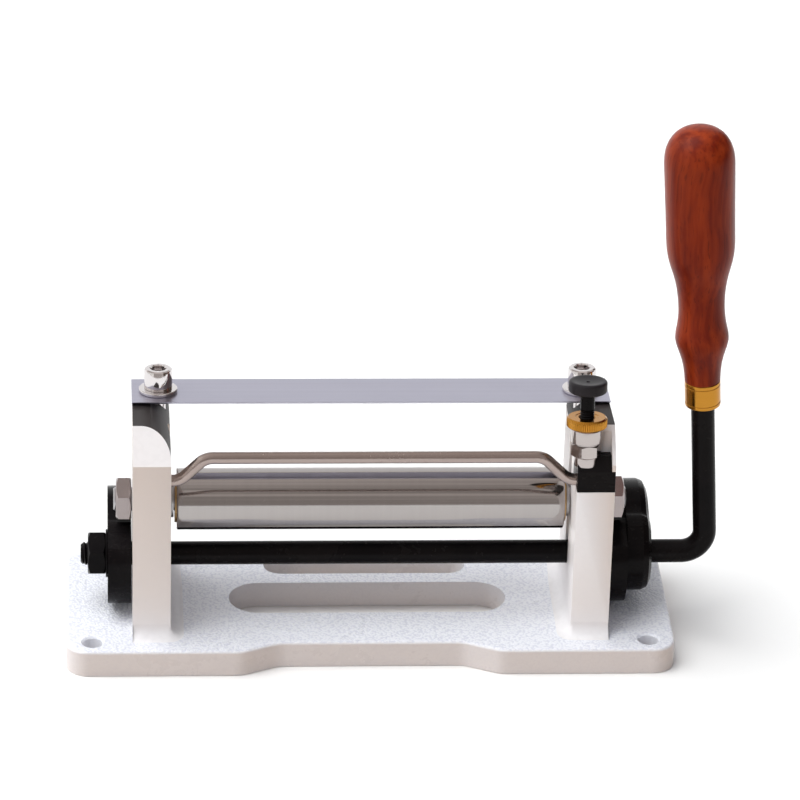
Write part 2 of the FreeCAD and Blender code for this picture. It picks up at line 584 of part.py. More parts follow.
def cam_wire(base_radius, shrink=0.0, along=0.0):
    """Snail cam's outline about the lever's axis, in a plane across it.

    The axle nut's centre has to rise evenly with the lever's turn, so it follows a spiral whose
    radius grows evenly with the angle. The working edge lies inside that spiral by the nut's corner
    radius and the gap. Angles start at the top and grow towards the rear. The outline can be
    shrunk, for a rounded rim.
    """
    rest = size("roller_rise")
    rate = evaluate(ROLLER_LIFT) / (math.pi / 2)
    inset = size("nut_flats") / math.sqrt(3) + size("cam_gap") + shrink
    base_radius = base_radius - shrink
    tip_radius = size("cam_tip") - shrink * 0.5

    def edge_point(angle):
        radius = rest + rate * angle
        outward = Vector(0, math.sin(angle), math.cos(angle))
        around = Vector(0, math.cos(angle), -math.sin(angle))
        normal = (outward * radius - around * rate).normalize()
        return outward * radius - normal * inset

    def on_circle(radius, degrees):
        angle = math.radians(degrees)
        return Vector(0, radius * math.sin(angle), radius * math.cos(angle))

    over = math.radians(CAM_END)
    steps = 12
    working = [edge_point(over * index / steps) for index in range(steps + 1)]
    dwell = rest - inset
    start = on_circle(dwell, CAM_NOTCH)
    spiral = Part.BSplineCurve()
    spiral.interpolate([on_circle(dwell, -CAM_LEAD)] + working)
    tip = working[-1]
    way = (tip - working[-2]).normalize()
    inward = Vector(0, way.z, -way.y)
    round_end = tip + inward * 2 * tip_radius
    under = on_circle(base_radius, CAM_UNDER)
    front = on_circle(base_radius, CAM_FRONT)
    edges = [Part.Arc(start, on_circle(dwell, (CAM_NOTCH - CAM_LEAD) / 2), on_circle(dwell, -CAM_LEAD)),
             spiral,
             Part.Arc(tip, tip + inward * tip_radius + way * tip_radius, round_end),
             Part.LineSegment(round_end, under),
             Part.Arc(under, on_circle(base_radius, (CAM_UNDER + CAM_FRONT + 360) / 2), front),
             Part.LineSegment(front, start)]
    wire = Part.Wire([edge.toShape() for edge in edges])
    wire.translate(Vector(along, 0, 0))
    return wire


def cam_plate(base_radius, thickness):
    """Flat cam of one thickness."""
    return Part.Face(cam_wire(base_radius)).extrude(Vector(thickness, 0, 0))


def cam_bore(name, start, length):
    """Cutter for a cam's bore on the lever rod."""
    return bar(name, ROD_BORE, length, start, "0", "lever_height", ALONG_X)


def make_cams():
    """Snail cams on the lever rod outside the posts, and their set screws."""
    left = doc.addObject("Part::Feature", "left_cam_plate")
    left.Shape = cam_plate(size("cam_base"), -size("left_cam_thick"))
    stand(left, f"-({POST_OUTER} + side_gap)", "0", "lever_height")
    right = doc.addObject("Part::Feature", "right_cam_plate")
    plate = cam_plate(size("cam_base"), size("right_cam_thick"))
    edge = size("hub_round")
    length = size("hub_length")
    base = size("hub_base")
    flange = -size("hub_flange")
    start = size("hub_flange_start")
    boss = cam_plate(base, length - edge)
    ring = Part.Face(cam_wire(base, flange, start)).extrude(Vector(length - edge - start, 0, 0))
    middle = length - edge * 0.35
    rim = Part.makeLoft([cam_wire(base, flange, length - edge), cam_wire(base, flange + edge * 0.3, middle)],
                        True, True)
    crown = Part.makeLoft([cam_wire(base, flange + edge * 0.3, middle), cam_wire(base, flange + edge, length)],
                          True, True)
    right.Shape = plate.fuse([boss, ring, rim, crown])
    stand(right, f"{POST_OUTER} + side_gap", "0", "lever_height")
    screws = []
    holes = []
    spots = ((1, f"-({POST_OUTER} + side_gap + left_cam_thick / 2)"),
             (2, f"{POST_OUTER} + side_gap + right_cam_thick / 2"))
    for number, spot in spots:
        foot = "lever_height - cam_base + cam_screw_sink"
        depth = "cam_base - cam_screw_sink - rod_dia / 2 - tang_gap"
        grub = bar(f"grub_{number}", "cam_screw_dia", depth, spot, "0", foot)
        key = hexagon(f"grub_socket_{number}", "cam_screw_dia / 2", "cam_screw_dia / 2", spot, "0", foot)
        screws.append(cut(f"cam_set_screw_{number}", grub, key))
        holes.append(bar(f"cam_screw_hole_{number}", "cam_screw_dia", "cam_base", spot, "0",
                         "lever_height - cam_base - 1"))
    left_start = f"-({POST_OUTER} + side_gap + left_cam_thick + 1)"
    node(cut("left_cam", left, cam_bore("left_cam_bore", left_start, "left_cam_thick + 2"), holes[0]), "left_cam")
    right_bore = cam_bore("right_cam_bore", f"{POST_OUTER} + side_gap - 1", "hub_length + 2")
    node(cut("right_cam", right, right_bore, holes[1]), "right_cam")
    node(several("cam_set_screws", *screws), "cam_set_screws")


def on_lever_arm(item, up):
    """Place a piece on the lever's upright arm, from the bend's corner along the arm."""
    lean = "lever_lean * 1 deg"
    stand(item, f"lever_reach - ({up}) * sin({lean})", "0", f"lever_height + ({up}) * cos({lean})")
    item.Placement = Placement(item.Placement.Base, Rotation(Vector(0, 1, 0), -size("lever_lean")))
    return item


def make_lever():
    """Bent lever rod, its end washer and nut, the ferrule with its pin, and the wooden grip."""
    outer = f"({POST_OUTER} + side_gap + left_cam_thick)"
    end = evaluate(f"{outer} + end_washer_thick + end_nut_thick + end_stub")
    lean = math.radians(size("lever_lean"))
    arm = size("ferrule_start") + size("tang_length")
    moves = [((1, 0, 0), end + size("lever_reach"), size("lever_bend")),
             ((-math.sin(lean), 0, math.cos(lean)), arm, size("lever_bend"))]
    rod = doc.addObject("Part::Feature", "lever_bar")
    rod.Shape = pipe(Vector(-end, 0, 0), moves, size("rod_dia") / 2)
    stand(rod, "0", "0", "lever_height")
    pin_up = "ferrule_start + ferrule_length / 2"
    pin_bores = []
    for name in ("rod_pin_bore", "ferrule_pin_bore"):
        bore = on_lever_arm(bar(name, "pin_dia", "ferrule_dia * 2"), pin_up)
        bore.Placement = Placement(bore.Placement.Base, ALONG_Y)
        bore.setExpression(".Placement.Base.y", formula("-ferrule_dia"))
        pin_bores.append(bore)
    node(cut("lever_rod", rod, pin_bores[0]), "lever_rod")
    pin = on_lever_arm(bar("ferrule_pin", "pin_dia", "ferrule_dia - 0.6"), pin_up)
    pin.Placement = Placement(pin.Placement.Base, ALONG_Y)
    pin.setExpression(".Placement.Base.y", formula("0.3 - ferrule_dia / 2"))
    node(pin, "ferrule_pin")

    tube = on_lever_arm(bar("ferrule_tube", "ferrule_dia", "ferrule_length"), "ferrule_start")
    hole = on_lever_arm(bar("ferrule_hole", ROD_BORE, "3 * ferrule_length"), "ferrule_start - ferrule_length")
    node(cut("handle_ferrule", tube, hole, pin_bores[1]), "handle_ferrule")

    length = size("grip_length")
    neck = size("ferrule_dia") / 2
    heights = [(0.0, neck), (0.075, neck * 1.13), (0.125, size("grip_bead_dia") * 0.44),
               (0.175, size("grip_bead_dia") / 2), (0.215, size("grip_bead_dia") * 0.455),
               (0.305, size("grip_waist_dia") / 2), (0.405, size("grip_waist_dia") * 0.56),
               (0.480, size("grip_shoulder_dia") * 0.455), (0.525, size("grip_shoulder_dia") / 2)]
    flank = Part.BSplineCurve()
    flank.interpolate([Vector(radius, 0, share * length) for share, radius in heights])
    widest = Vector(size("grip_dia") / 2, 0, 0.86 * length)
    shoulder = Vector(size("grip_shoulder_dia") / 2, 0, 0.525 * length)
    crown = Vector(0, 0, length)
    dome = Part.BSplineCurve()
    dome.interpolate([widest, Vector(widest.x * 0.93, 0, 0.925 * length), Vector(widest.x * 0.70, 0, 0.972 * length),
                      Vector(widest.x * 0.38, 0, 0.994 * length), crown],
                     InitialTangent=Vector(0, 0, 1), FinalTangent=Vector(-1, 0, 0))
    outline = Part.Wire([Part.LineSegment(Vector(), Vector(neck, 0, 0)).toShape(), flank.toShape(),
                         Part.LineSegment(shoulder, widest).toShape(), dome.toShape(),
                         Part.LineSegment(crown, Vector()).toShape()])
    grip = doc.addObject("Part::Feature", "grip_turning")
    grip.Shape = Part.Face(outline).revolve(Vector(), Vector(0, 0, 1), 360)
    on_lever_arm(grip, "ferrule_start + ferrule_length")
    tang = on_lever_arm(bar("grip_bore", ROD_BORE, "tang_length"), "ferrule_start + 1")
    node(cut("handle_grip", grip, tang), "handle_grip")

    disc = bar("end_washer_disc", "end_washer_dia", "end_washer_thick", f"-{outer} - end_washer_thick", "0",
               "lever_height", ALONG_X)
    node(cut("lever_end_washer", disc, cam_bore("end_washer_bore", f"-{outer} - 2", "3")), "lever_end_washer")
    start = f"-{outer} - end_washer_thick - end_nut_thick"
    nut = hexagon("end_nut_blank", "nut_flats", "end_nut_thick", start, "0", "lever_height", ALONG_X)
    node(cut("lever_end_nut", nut, cam_bore("end_nut_bore", f"{start} - 1", "end_nut_thick + 2")), "lever_end_nut")


def make_roller():
    """Roller tube with flanged bushes, its axle, and the axle's spacers and nuts."""
    shell = bar("roller_tube", "roller_dia", "roller_length", "-roller_length / 2", "0", ROLLER_REST, ALONG_X)
    eased = ease("Chamfer", "roller_eased", shell, size("roller_edge"), [1, 3])
    bore = bar("roller_bore_bar", "roller_bore", "roller_length * 2", "-roller_length", "0", ROLLER_REST, ALONG_X)
    node(cut("roller_shell", eased, bore), "roller_shell")
    half = f"({POST_OUTER} + side_gap + axle_nut_thick + axle_stub)"
    node(bar("roller_axle", "rod_dia", f"2 * {half}", f"-{half}", "0", ROLLER_REST, ALONG_X), "roller_axle")
    bushes = []
    spacers = []
    nuts = []
    for number, side in ((1, -1), (2, 1)):
        flip = "" if side > 0 else "-"
        inner = "(roller_length / 2 - bush_length)" if side > 0 else "-roller_length / 2"
        sleeve = bar(f"bush_sleeve_{number}", "roller_bore", "bush_length", inner, "0", ROLLER_REST, ALONG_X)
        face = "roller_length / 2" if side > 0 else "-(roller_length / 2 + bush_flange)"
        flange = bar(f"bush_flange_{number}", "bush_flange_dia", "bush_flange", face, "0", ROLLER_REST, ALONG_X)
        hole = bar(f"bush_bore_{number}", "rod_dia + 2 * run_gap", "roller_length", f"{side} * roller_length / 2"
                   " - roller_length / 2", "0", ROLLER_REST, ALONG_X)
        bushes.append(cut(f"roller_bush_{number}", fuse(f"bush_outside_{number}", sleeve, flange), hole))
        room = f"({POST_INNER} - roller_length / 2 - bush_flange - 2 * side_gap)"
        near = "(roller_length / 2 + bush_flange + side_gap)"
        begin = near if side > 0 else f"-({near} + {room})"
        disc = bar(f"spacer_disc_{number}", "spacer_dia", room, begin, "0", ROLLER_REST, ALONG_X)
        gap = bar(f"spacer_bore_{number}", ROD_BORE, f"{room} + 2", f"{begin} - 1", "0", ROLLER_REST, ALONG_X)
        spacers.append(cut(f"axle_spacer_{number}", disc, gap))
        begin = NUT_INNER if side > 0 else f"-({NUT_INNER} + axle_nut_thick)"
        nut = hexagon(f"axle_nut_blank_{number}", "nut_flats", "axle_nut_thick", begin, "0", ROLLER_REST, ALONG_X)
        thread = bar(f"axle_nut_bore_{number}", ROD_BORE, "axle_nut_thick + 2", f"{begin} - 1", "0", ROLLER_REST,
                     ALONG_X)
        nuts.append(cut(f"axle_nut_{number}", nut, thread))
    node(several("roller_bushes", *bushes), "roller_bushes")
    node(several("axle_spacers", *spacers), "axle_spacers")
    node(several("axle_nuts", *nuts), "axle_nuts")


make_base()
wire_hole = bar("left_wire_hole", "wire_dia + 2 * wire_gap", "wire_grip + 1", f"-({POST_INNER} + wire_grip + 1)",
                "-wire_front", WIRE_HEIGHT, ALONG_X)
make_post(-1, "left_post", wire_hole, screw_holes(-1))
make_post(1, "right_post", *make_guard(), screw_holes(1))
make_blade()
make_wire()
make_cams()
make_lever()
make_roller()
doc.recompute()

# Every object has to be sound before anything is written
failed = [item.Name for item in doc.Objects if {"Invalid", "Error"} & set(item.State)]
if failed:
    raise RuntimeError(f"failed objects: {failed}")
for label, item in NODES.items():
    if item.Shape.isNull() or not item.Shape.isValid() or not item.Shape.Solids:
        raise RuntimeError(f"{label} has no sound solid")

os.makedirs("parts", exist_ok=True)
for label, item in NODES.items():
    item.Shape.exportStep(f"parts/{label}.step")
    print(f"{label}: {len(item.Shape.Solids)} solid(s), {item.Shape.Volume / 1000:.2f} cm3")
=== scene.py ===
"""Bench leather splitting machine, dressed over its fixed frame.

Lengths are in metres in the frame's own axes: X along the blade, Y to the rear, Z up, with the origin at
the centre of the base plate's underside.
"""
import logging
import math
from dataclasses import dataclass
from enum import Enum
from typing import Callable, Sequence

import bmesh
import bpy
import numpy as np
from mathutils import Matrix, Vector


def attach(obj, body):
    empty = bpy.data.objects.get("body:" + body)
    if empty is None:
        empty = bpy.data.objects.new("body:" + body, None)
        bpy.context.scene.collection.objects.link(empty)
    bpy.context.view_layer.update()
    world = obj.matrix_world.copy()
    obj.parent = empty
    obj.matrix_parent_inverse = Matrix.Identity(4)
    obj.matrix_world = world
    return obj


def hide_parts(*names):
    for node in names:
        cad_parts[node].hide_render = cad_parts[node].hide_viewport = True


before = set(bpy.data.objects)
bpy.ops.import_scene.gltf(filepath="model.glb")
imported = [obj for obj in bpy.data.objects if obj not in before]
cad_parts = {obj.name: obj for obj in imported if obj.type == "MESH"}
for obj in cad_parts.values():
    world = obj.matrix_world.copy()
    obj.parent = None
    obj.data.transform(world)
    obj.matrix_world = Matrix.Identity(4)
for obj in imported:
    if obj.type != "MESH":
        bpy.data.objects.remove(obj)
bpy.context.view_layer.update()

LOG = logging.getLogger("leather_splitter")
MM = 0.001
Colour = tuple[float, float, float]
Socket = bpy.types.NodeSocket
Node = bpy.types.Node
Outputs = bpy.types.bpy_prop_collection
Piece = bpy.types.Object


# Surfaces

@dataclass(frozen=True)
class Surface:
    """Points of a shell and its faces, as one index array for each number of corners."""

    points: np.ndarray
    faces: tuple[np.ndarray, ...]

    def placed(self, turn: np.ndarray, origin: Sequence[float]) -> "Surface":
        """The same shell turned by a matrix, then moved to an origin."""
        return Surface(self.points @ np.asarray(turn).T + np.asarray(origin), self.faces)

    def joined(self, other: "Surface") -> "Surface":
        """This shell and another as one."""
        shifted = tuple(face + len(self.points) for face in other.faces)
        return Surface(np.vstack([self.points, other.points]), self.faces + shifted)


def wrapped_quads(rows: int, columns: int, close_rows: bool) -> np.ndarray:
    """Quads of a grid whose columns close on themselves.

    Args:
        rows: points along the profile.
        columns: points round the axis.
        close_rows: whether the last row joins the first.

    Returns:
        Index array with four corners for each face.
    """
    row = np.arange(rows if close_rows else rows - 1)[:, None]
    column = np.arange(columns)[None, :]
    after = (row + 1) % rows
    beside = (column + 1) % columns
    corners = np.broadcast_arrays(row * columns + column, row * columns + beside,
                                  after * columns + beside, after * columns + column)
    return np.stack(corners, axis=-1).reshape(-1, 4)


def capped(points: np.ndarray, low: Sequence[float], high: Sequence[float]) -> Surface:
    """Shell of a grid of rings whose first and last rings close on one point each.

    Args:
        points: grid of shape (rows, columns, 3).
        low: point that closes the first ring.
        high: point that closes the last ring.

    Returns:
        A closed shell.
    """
    rows, columns = points.shape[:2]
    count = rows * columns
    ring = np.arange(columns)
    beside = (ring + 1) % columns
    last = (rows - 1) * columns
    low_fan = np.stack([np.full(columns, count), beside, ring], axis=-1)
    high_fan = np.stack([np.full(columns, count + 1), last + ring, last + beside], axis=-1)
    everything = np.vstack([points.reshape(-1, 3), [low, high]])
    return Surface(everything, (wrapped_quads(rows, columns, False), low_fan, high_fan))


def turned(radius: np.ndarray, height: np.ndarray, columns: int, solid: bool) -> Surface:
    """Turned surface about Z: the point at (u, v) is (r cos v, r sin v, h), where r and h depend on u and v.

    Args:
        radius: r, of shape (rows, 1) or (rows, columns).
        height: h, of the same kind of shape.
        columns: steps round the axis.
        solid: True where the profile ends on the axis, False where it is a closed loop round a bore.

    Returns:
        A closed shell; its profile runs upwards on the outside.
    """
    angle = np.linspace(0, 2 * np.pi, columns, endpoint=False)[None, :]
    radius, height, angle = np.broadcast_arrays(radius, height, angle)
    points = np.stack([radius * np.cos(angle), radius * np.sin(angle), height], axis=-1)
    if solid:
        return capped(points, (0, 0, height[0, 0]), (0, 0, height[-1, 0]))
    return Surface(points.reshape(-1, 3), (wrapped_quads(len(points), columns, True),))


def profile(*stations: tuple[float, float]) -> tuple[np.ndarray, np.ndarray]:
    """Radius and height columns of a profile given as (radius, height) stations in millimetres."""
    table = np.array(stations, float) * MM
    return table[:, :1], table[:, 1:]


def rounded_rim(radius: float, low: float, high: float, edge: float,
                steps: int = 5) -> list[tuple[float, float]]:
    """Stations of a cylinder's side with a quarter circle of radius `edge` at both rims, in millimetres.

    Args:
        radius: the side's radius.
        low: height of the lower face.
        high: height of the upper face.
        edge: the rims' rounding.
        steps: points on each quarter circle.

    Returns:
        Stations from the lower face up to the upper face.
    """
    turn = np.linspace(0, np.pi / 2, steps)
    lower = [(radius - edge + edge * np.sin(t), low + edge - edge * np.cos(t)) for t in turn]
    upper = [(radius - edge + edge * np.cos(t), high - edge + edge * np.sin(t)) for t in turn]
    return lower + upper


def spline(stations: np.ndarray, values: np.ndarray, where: np.ndarray) -> np.ndarray:
    """Natural cubic spline: its second derivatives solve the usual tridiagonal system, one row per station.

    Args:
        stations: increasing places.
        values: the curve's values there.
        where: places to work the curve out at.

    Returns:
        The curve's values.
    """
    gap = np.diff(stations)
    slope = np.diff(values) / gap
    count = len(stations)
    system = np.eye(count)
    inner = np.arange(1, count - 1)
    system[inner, inner - 1] = gap[:-1]
    system[inner, inner] = 2 * (gap[:-1] + gap[1:])
    system[inner, inner + 1] = gap[1:]
    right = np.zeros(count)
    right[1:-1] = 6 * np.diff(slope)
    bend = np.linalg.solve(system, right)
    cell = np.clip(np.searchsorted(stations, where) - 1, 0, count - 2)
    width = gap[cell]
    before = (stations[cell + 1] - where) / width
    after = 1 - before
    curve = ((before ** 3 - before) * bend[cell] + (after ** 3 - after) * bend[cell + 1]) * width ** 2 / 6
    return before * values[cell] + after * values[cell + 1] + curve


def bent_path(corners: Sequence[Sequence[float]], bend: float,
              steps: int = 12) -> tuple[np.ndarray, np.ndarray]:
    """Line through corners, each rounded by an arc that touches both of its runs.

    The arc of radius R at a turn of angle t starts R tan(t / 2) before the corner; its point at the share s
    of the turn is start + R (a sin(s t) + n (1 - cos(s t))), with a along the run and n across it, inwards.

    Args:
        corners: places in millimetres.
        bend: the arcs' radius in millimetres.
        steps: steps on each arc.

    Returns:
        Points in metres and the unit tangent at each.
    """
    places = np.array(corners, float)
    ways = np.diff(places, axis=0)
    ways /= np.linalg.norm(ways, axis=1)[:, None]
    points = [places[:1]]
    tangents = [ways[:1]]
    for place, way, following in zip(places[1:-1], ways[:-1], ways[1:]):
        turn = math.acos(float(np.clip(way @ following, -1, 1)))
        inwards = following - way * (way @ following)
        inwards /= np.linalg.norm(inwards)
        share = np.linspace(0, turn, steps + 1)[:, None]
        start = place - way * bend * math.tan(turn / 2)
        points.append(start + bend * (way * np.sin(share) + inwards * (1 - np.cos(share))))
        tangents.append(way * np.cos(share) + inwards * np.sin(share))
    points.append(places[-1:])
    tangents.append(ways[-1:])
    return np.vstack(points) * MM, np.vstack(tangents)


def swept(path: np.ndarray, tangents: np.ndarray, across: Sequence[float], radius: np.ndarray,
          columns: int) -> Surface:
    """Round bar along a flat path: each ring is the path's point plus r (n cos v + b sin v).

    Args:
        path: the path's points.
        tangents: the unit tangents there.
        across: unit vector b, across the path's plane; n is b times the tangent.
        radius: r, of shape (points, 1) or (points, columns).
        columns: steps round the bar.

    Returns:
        A closed shell with flat ends.
    """
    angle = np.linspace(0, 2 * np.pi, columns, endpoint=False)[None, :, None]
    side = np.asarray(across, float)
    normal = np.cross(side, tangents)[:, None, :]
    wide = np.broadcast_to(radius, (len(path), columns))[..., None]
    points = path[:, None, :] + wide * (normal * np.cos(angle) + side * np.sin(angle))
    return capped(points, path[0], path[-1])


def hexagon_radius(flats: float, columns: int, turn: float = 0.0) -> np.ndarray:
    """Distance from a hexagon's centre to its edge in each direction, for flats a given distance apart.

    With a corner at the angle `turn`, the edge is (flats / 2) / cos(a), where a is the angle to the nearest
    flat's middle, between -30 and 30 degrees.
    """
    angle = np.linspace(0, 2 * np.pi, columns, endpoint=False) - turn
    nearest = np.mod(angle, np.pi / 3) - np.pi / 6
    return (flats / 2 / np.cos(nearest))[None, :]


def hexagon_nut(flats: float, thick: float, bore: float, columns: int = 120) -> Surface:
    """Hexagon nut along Z whose corners are cut by 30 degree cones at both faces.

    The side meets the cone where h = (r - f) tan 30, with r the hexagon's radius in that direction and f
    the radius of the flat face. The bore has a small countersink at each face.

    Args:
        flats: width across flats, in millimetres.
        thick: thickness, in millimetres.
        bore: bore radius, in millimetres.
        columns: steps round the nut, a multiple of 6.

    Returns:
        A closed shell.
    """
    edge = hexagon_radius(flats, columns)
    face = flats * 0.475
    cone = np.maximum(edge - face, 0) * math.tan(math.radians(30))
    level = np.ones_like(edge)
    sink = 0.5
    radius = np.vstack([level * (bore + sink), level * face, edge, edge, level * face, level * (bore + sink),
                        level * bore, level * bore])
    height = np.vstack([level * 0, level * 0, cone, thick - cone, level * thick, level * thick,
                        level * (thick - sink), level * sink])
    return turned(radius * MM, height * MM, columns, False)


def thread_groove(height: np.ndarray, pitch: float, columns: int) -> np.ndarray:
    """Share of a V thread's depth, |2 frac(h / pitch - v / 2 pi) - 1|: 0 on the crest and 1 at the root.

    Args:
        height: h, of shape (rows, 1).
        pitch: the thread's rise in one turn, in h's unit.
        columns: steps round the axis.

    Returns:
        Array of shape (rows, columns).
    """
    angle = np.linspace(0, 1, columns, endpoint=False)[None, :]
    return np.abs(2 * np.mod(height / pitch - angle, 1) - 1)


def turn_matrix(axis: str, degrees: float) -> np.ndarray:
    """Turn about one of the frame's axes, as a 3 by 3 array."""
    return np.array(Matrix.Rotation(math.radians(degrees), 3, axis))


def along_x(surface: Surface, start: float, height: float) -> Surface:
    """Lay a shell made along Z parallel to X, from a place and at a height in millimetres."""
    return surface.placed(turn_matrix("Y", 90), np.array([start, 0, height]) * MM)


# Finishes

class Slot(Enum):
    """Material slots of the machine's record."""

    CASTING = "casting_paint"
    BLADE = "blade_steel"
    CHROME = "chrome"
    ROLLER = "roller_chrome"
    NICKEL = "nickel_wire"
    BARE = "bare_steel"
    BLACK = "black_steel"
    KNOB = "black_knob"
    BRASS = "brass"
    BRONZE = "bronze"
    WOOD = "wood"


class Graph:
    """Nodes of one tree, added with their settings and sockets in one call."""

    def __init__(self, tree: bpy.types.NodeTree) -> None:
        """Start on a tree; its own nodes are kept."""
        self.tree = tree

    def add(self, kind: str, sockets: dict | None = None, **settings) -> Node:
        """Add a node.

        Args:
            kind: node type, without its ShaderNode prefix unless it is a group's input or output.
            sockets: input name or number to a value or to another node's output.
            settings: the node's own properties.

        Returns:
            The new node.
        """
        node = self.tree.nodes.new(kind if kind.startswith("NodeGroup") else f"ShaderNode{kind}")
        for name, value in settings.items():
            setattr(node, name, value)
        self.feed(node, sockets or {})
        return node

    def feed(self, node: Node, sockets: dict) -> None:
        """Set a node's inputs, by name or number, to values or to other nodes' outputs."""
        for key, value in sockets.items():
            if isinstance(value, Socket):
                self.tree.links.new(value, node.inputs[key])
            else:
                node.inputs[key].default_value = value

    def group(self, name: str, sockets: dict) -> Outputs:
        """Outputs of a node group."""
        return self.add("Group", sockets, node_tree=bpy.data.node_groups[name]).outputs

    def part(self, vector: Socket, letter: str) -> Socket:
        """X, Y or Z of a vector."""
        return self.add("SeparateXYZ", {0: vector}).outputs[letter]

    def maths(self, operation: str, *terms) -> Socket:
        """Result of a Math node on values or sockets."""
        return self.add("Math", dict(enumerate(terms)), operation=operation).outputs[0]

    def blend(self, share, first, second) -> Socket:
        """Colour between two colours or sockets, by a share from 0 to 1."""
        return self.add("Mix", {0: share, 6: first, 7: second}, data_type="RGBA").outputs[2]

    def spread(self, value, low: float, high: float, start: float = 0.0, end: float = 1.0) -> Socket:
        """Value moved smoothly from the range low..high to start..end."""
        return self.add("MapRange", {0: value, 1: low, 2: high, 3: start, 4: end},
                        interpolation_type="SMOOTHSTEP").outputs[0]


def rgba(colour: Colour, factor: float = 1.0) -> tuple[float, float, float, float]:
    """Colour times a factor, with full alpha."""
    return (*(factor * channel for channel in colour), 1.0)


def new_group(name: str, inputs: dict[str, tuple[str, float | None]], outputs: dict[str, str]) -> Graph:
    """Empty node group with named sockets.

    Args:
        name: the group's name.
        inputs: socket name to its type and first value.
        outputs: socket name to its type.

    Returns:
        A graph on the group's tree.
    """
    tree = bpy.data.node_groups.new(name, "ShaderNodeTree")
    for label, (kind, value) in inputs.items():
        socket = tree.interface.new_socket(label, in_out="INPUT", socket_type=f"NodeSocket{kind}")
        if value is not None:
            socket.default_value = value
    for label, kind in outputs.items():
        tree.interface.new_socket(label, in_out="OUTPUT", socket_type=f"NodeSocket{kind}")
    return Graph(tree)


def new_material(name: str) -> tuple[bpy.types.Material, Graph, Node]:
    """New material, a graph on its tree, and its shader."""
    made = bpy.data.materials.new(name)
    made.use_nodes = True
    return made, Graph(made.node_tree), made.node_tree.nodes["Principled BSDF"]


def make_pebble_group() -> bpy.types.NodeTree:
    """Pebbled enamel: soft cells of about Size with a finer unevenness over them.

    Height falls with the smooth distance to the nearest cell's centre, plus a broader noise; Shade is
    low in the creases, where the enamel gets painted shade, and high on the pebbles' tops.
    """
    graph = new_group("pebbled_enamel", {"Vector": ("Vector", None), "Size": ("Float", 0.001)},
                      {"Height": "Float", "Shade": "Float"})
    given = graph.add("NodeGroupInput").outputs
    scale = graph.maths("DIVIDE", 1.0, given["Size"])
    bumps = graph.add("TexVoronoi", {"Vector": given["Vector"], "Scale": scale, "Smoothness": 0.6},
                      feature="SMOOTH_F1").outputs["Distance"]
    fine = graph.add("TexNoise", {"Vector": given["Vector"], "Scale": graph.maths("MULTIPLY", scale, 0.5),
                                  "Detail": 1.0, "Roughness": 0.5}).outputs["Fac"]
    rounded = graph.spread(bumps, 0.0, 0.75, 1.0, 0.0)
    height = graph.maths("MULTIPLY_ADD", fine, 0.8, rounded)
    # Shade: 1 on the pebbles' tops, low in the creases, where painted shade goes
    shade = graph.spread(height, 0.38, 0.80)
    graph.add("NodeGroupOutput", {"Height": height, "Shade": shade})
    return graph.tree


def make_lines_group() -> bpy.types.NodeTree:
    """Fine parallel lines: noise stretched by a scale along each axis, as grinding or turning leaves."""
    graph = new_group("fine_lines", {"Vector": ("Vector", None), "Stretch": ("Vector", None)},
                      {"Lines": "Float", "Bands": "Float"})
    given = graph.add("NodeGroupInput").outputs
    stretched = graph.add("VectorMath", {0: given["Vector"], 1: given["Stretch"]},
                          operation="MULTIPLY").outputs[0]
    lines = graph.add("TexNoise", {"Vector": stretched, "Scale": 1.0, "Detail": 3.0}).outputs["Fac"]
    broad = graph.add("TexNoise", {"Vector": stretched, "Scale": 0.12, "Detail": 2.0}).outputs["Fac"]
    graph.add("NodeGroupOutput", {"Lines": lines, "Bands": broad})
    return graph.tree


def make_handling_group() -> bpy.types.NodeTree:
    """Handling marks: faint clouds of grease and small scuffs that change how sharp a surface shines."""
    graph = new_group("handling_marks",
                      {"Vector": ("Vector", None), "Low": ("Float", 0.1), "High": ("Float", 0.2)},
                      {"Roughness": "Float", "Mask": "Float"})
    given = graph.add("NodeGroupInput").outputs
    clouds = graph.add("TexNoise", {"Vector": given["Vector"], "Scale": 38.0, "Detail": 5.0,
                                    "Roughness": 0.62, "Distortion": 0.4}).outputs["Fac"]
    scuffs = graph.add("TexNoise", {"Vector": given["Vector"], "Scale": 420.0, "Detail": 2.0}).outputs["Fac"]
    mask = graph.maths("MULTIPLY_ADD", graph.spread(scuffs, 0.62, 0.75, 0.0, 0.45), 1.0,
                       graph.spread(clouds, 0.35, 0.7, 0.0, 0.55))
    reach = graph.maths("SUBTRACT", given["High"], given["Low"])
    roughness = graph.maths("MULTIPLY_ADD", mask, reach, given["Low"])
    graph.add("NodeGroupOutput", {"Roughness": roughness, "Mask": mask})
    return graph.tree


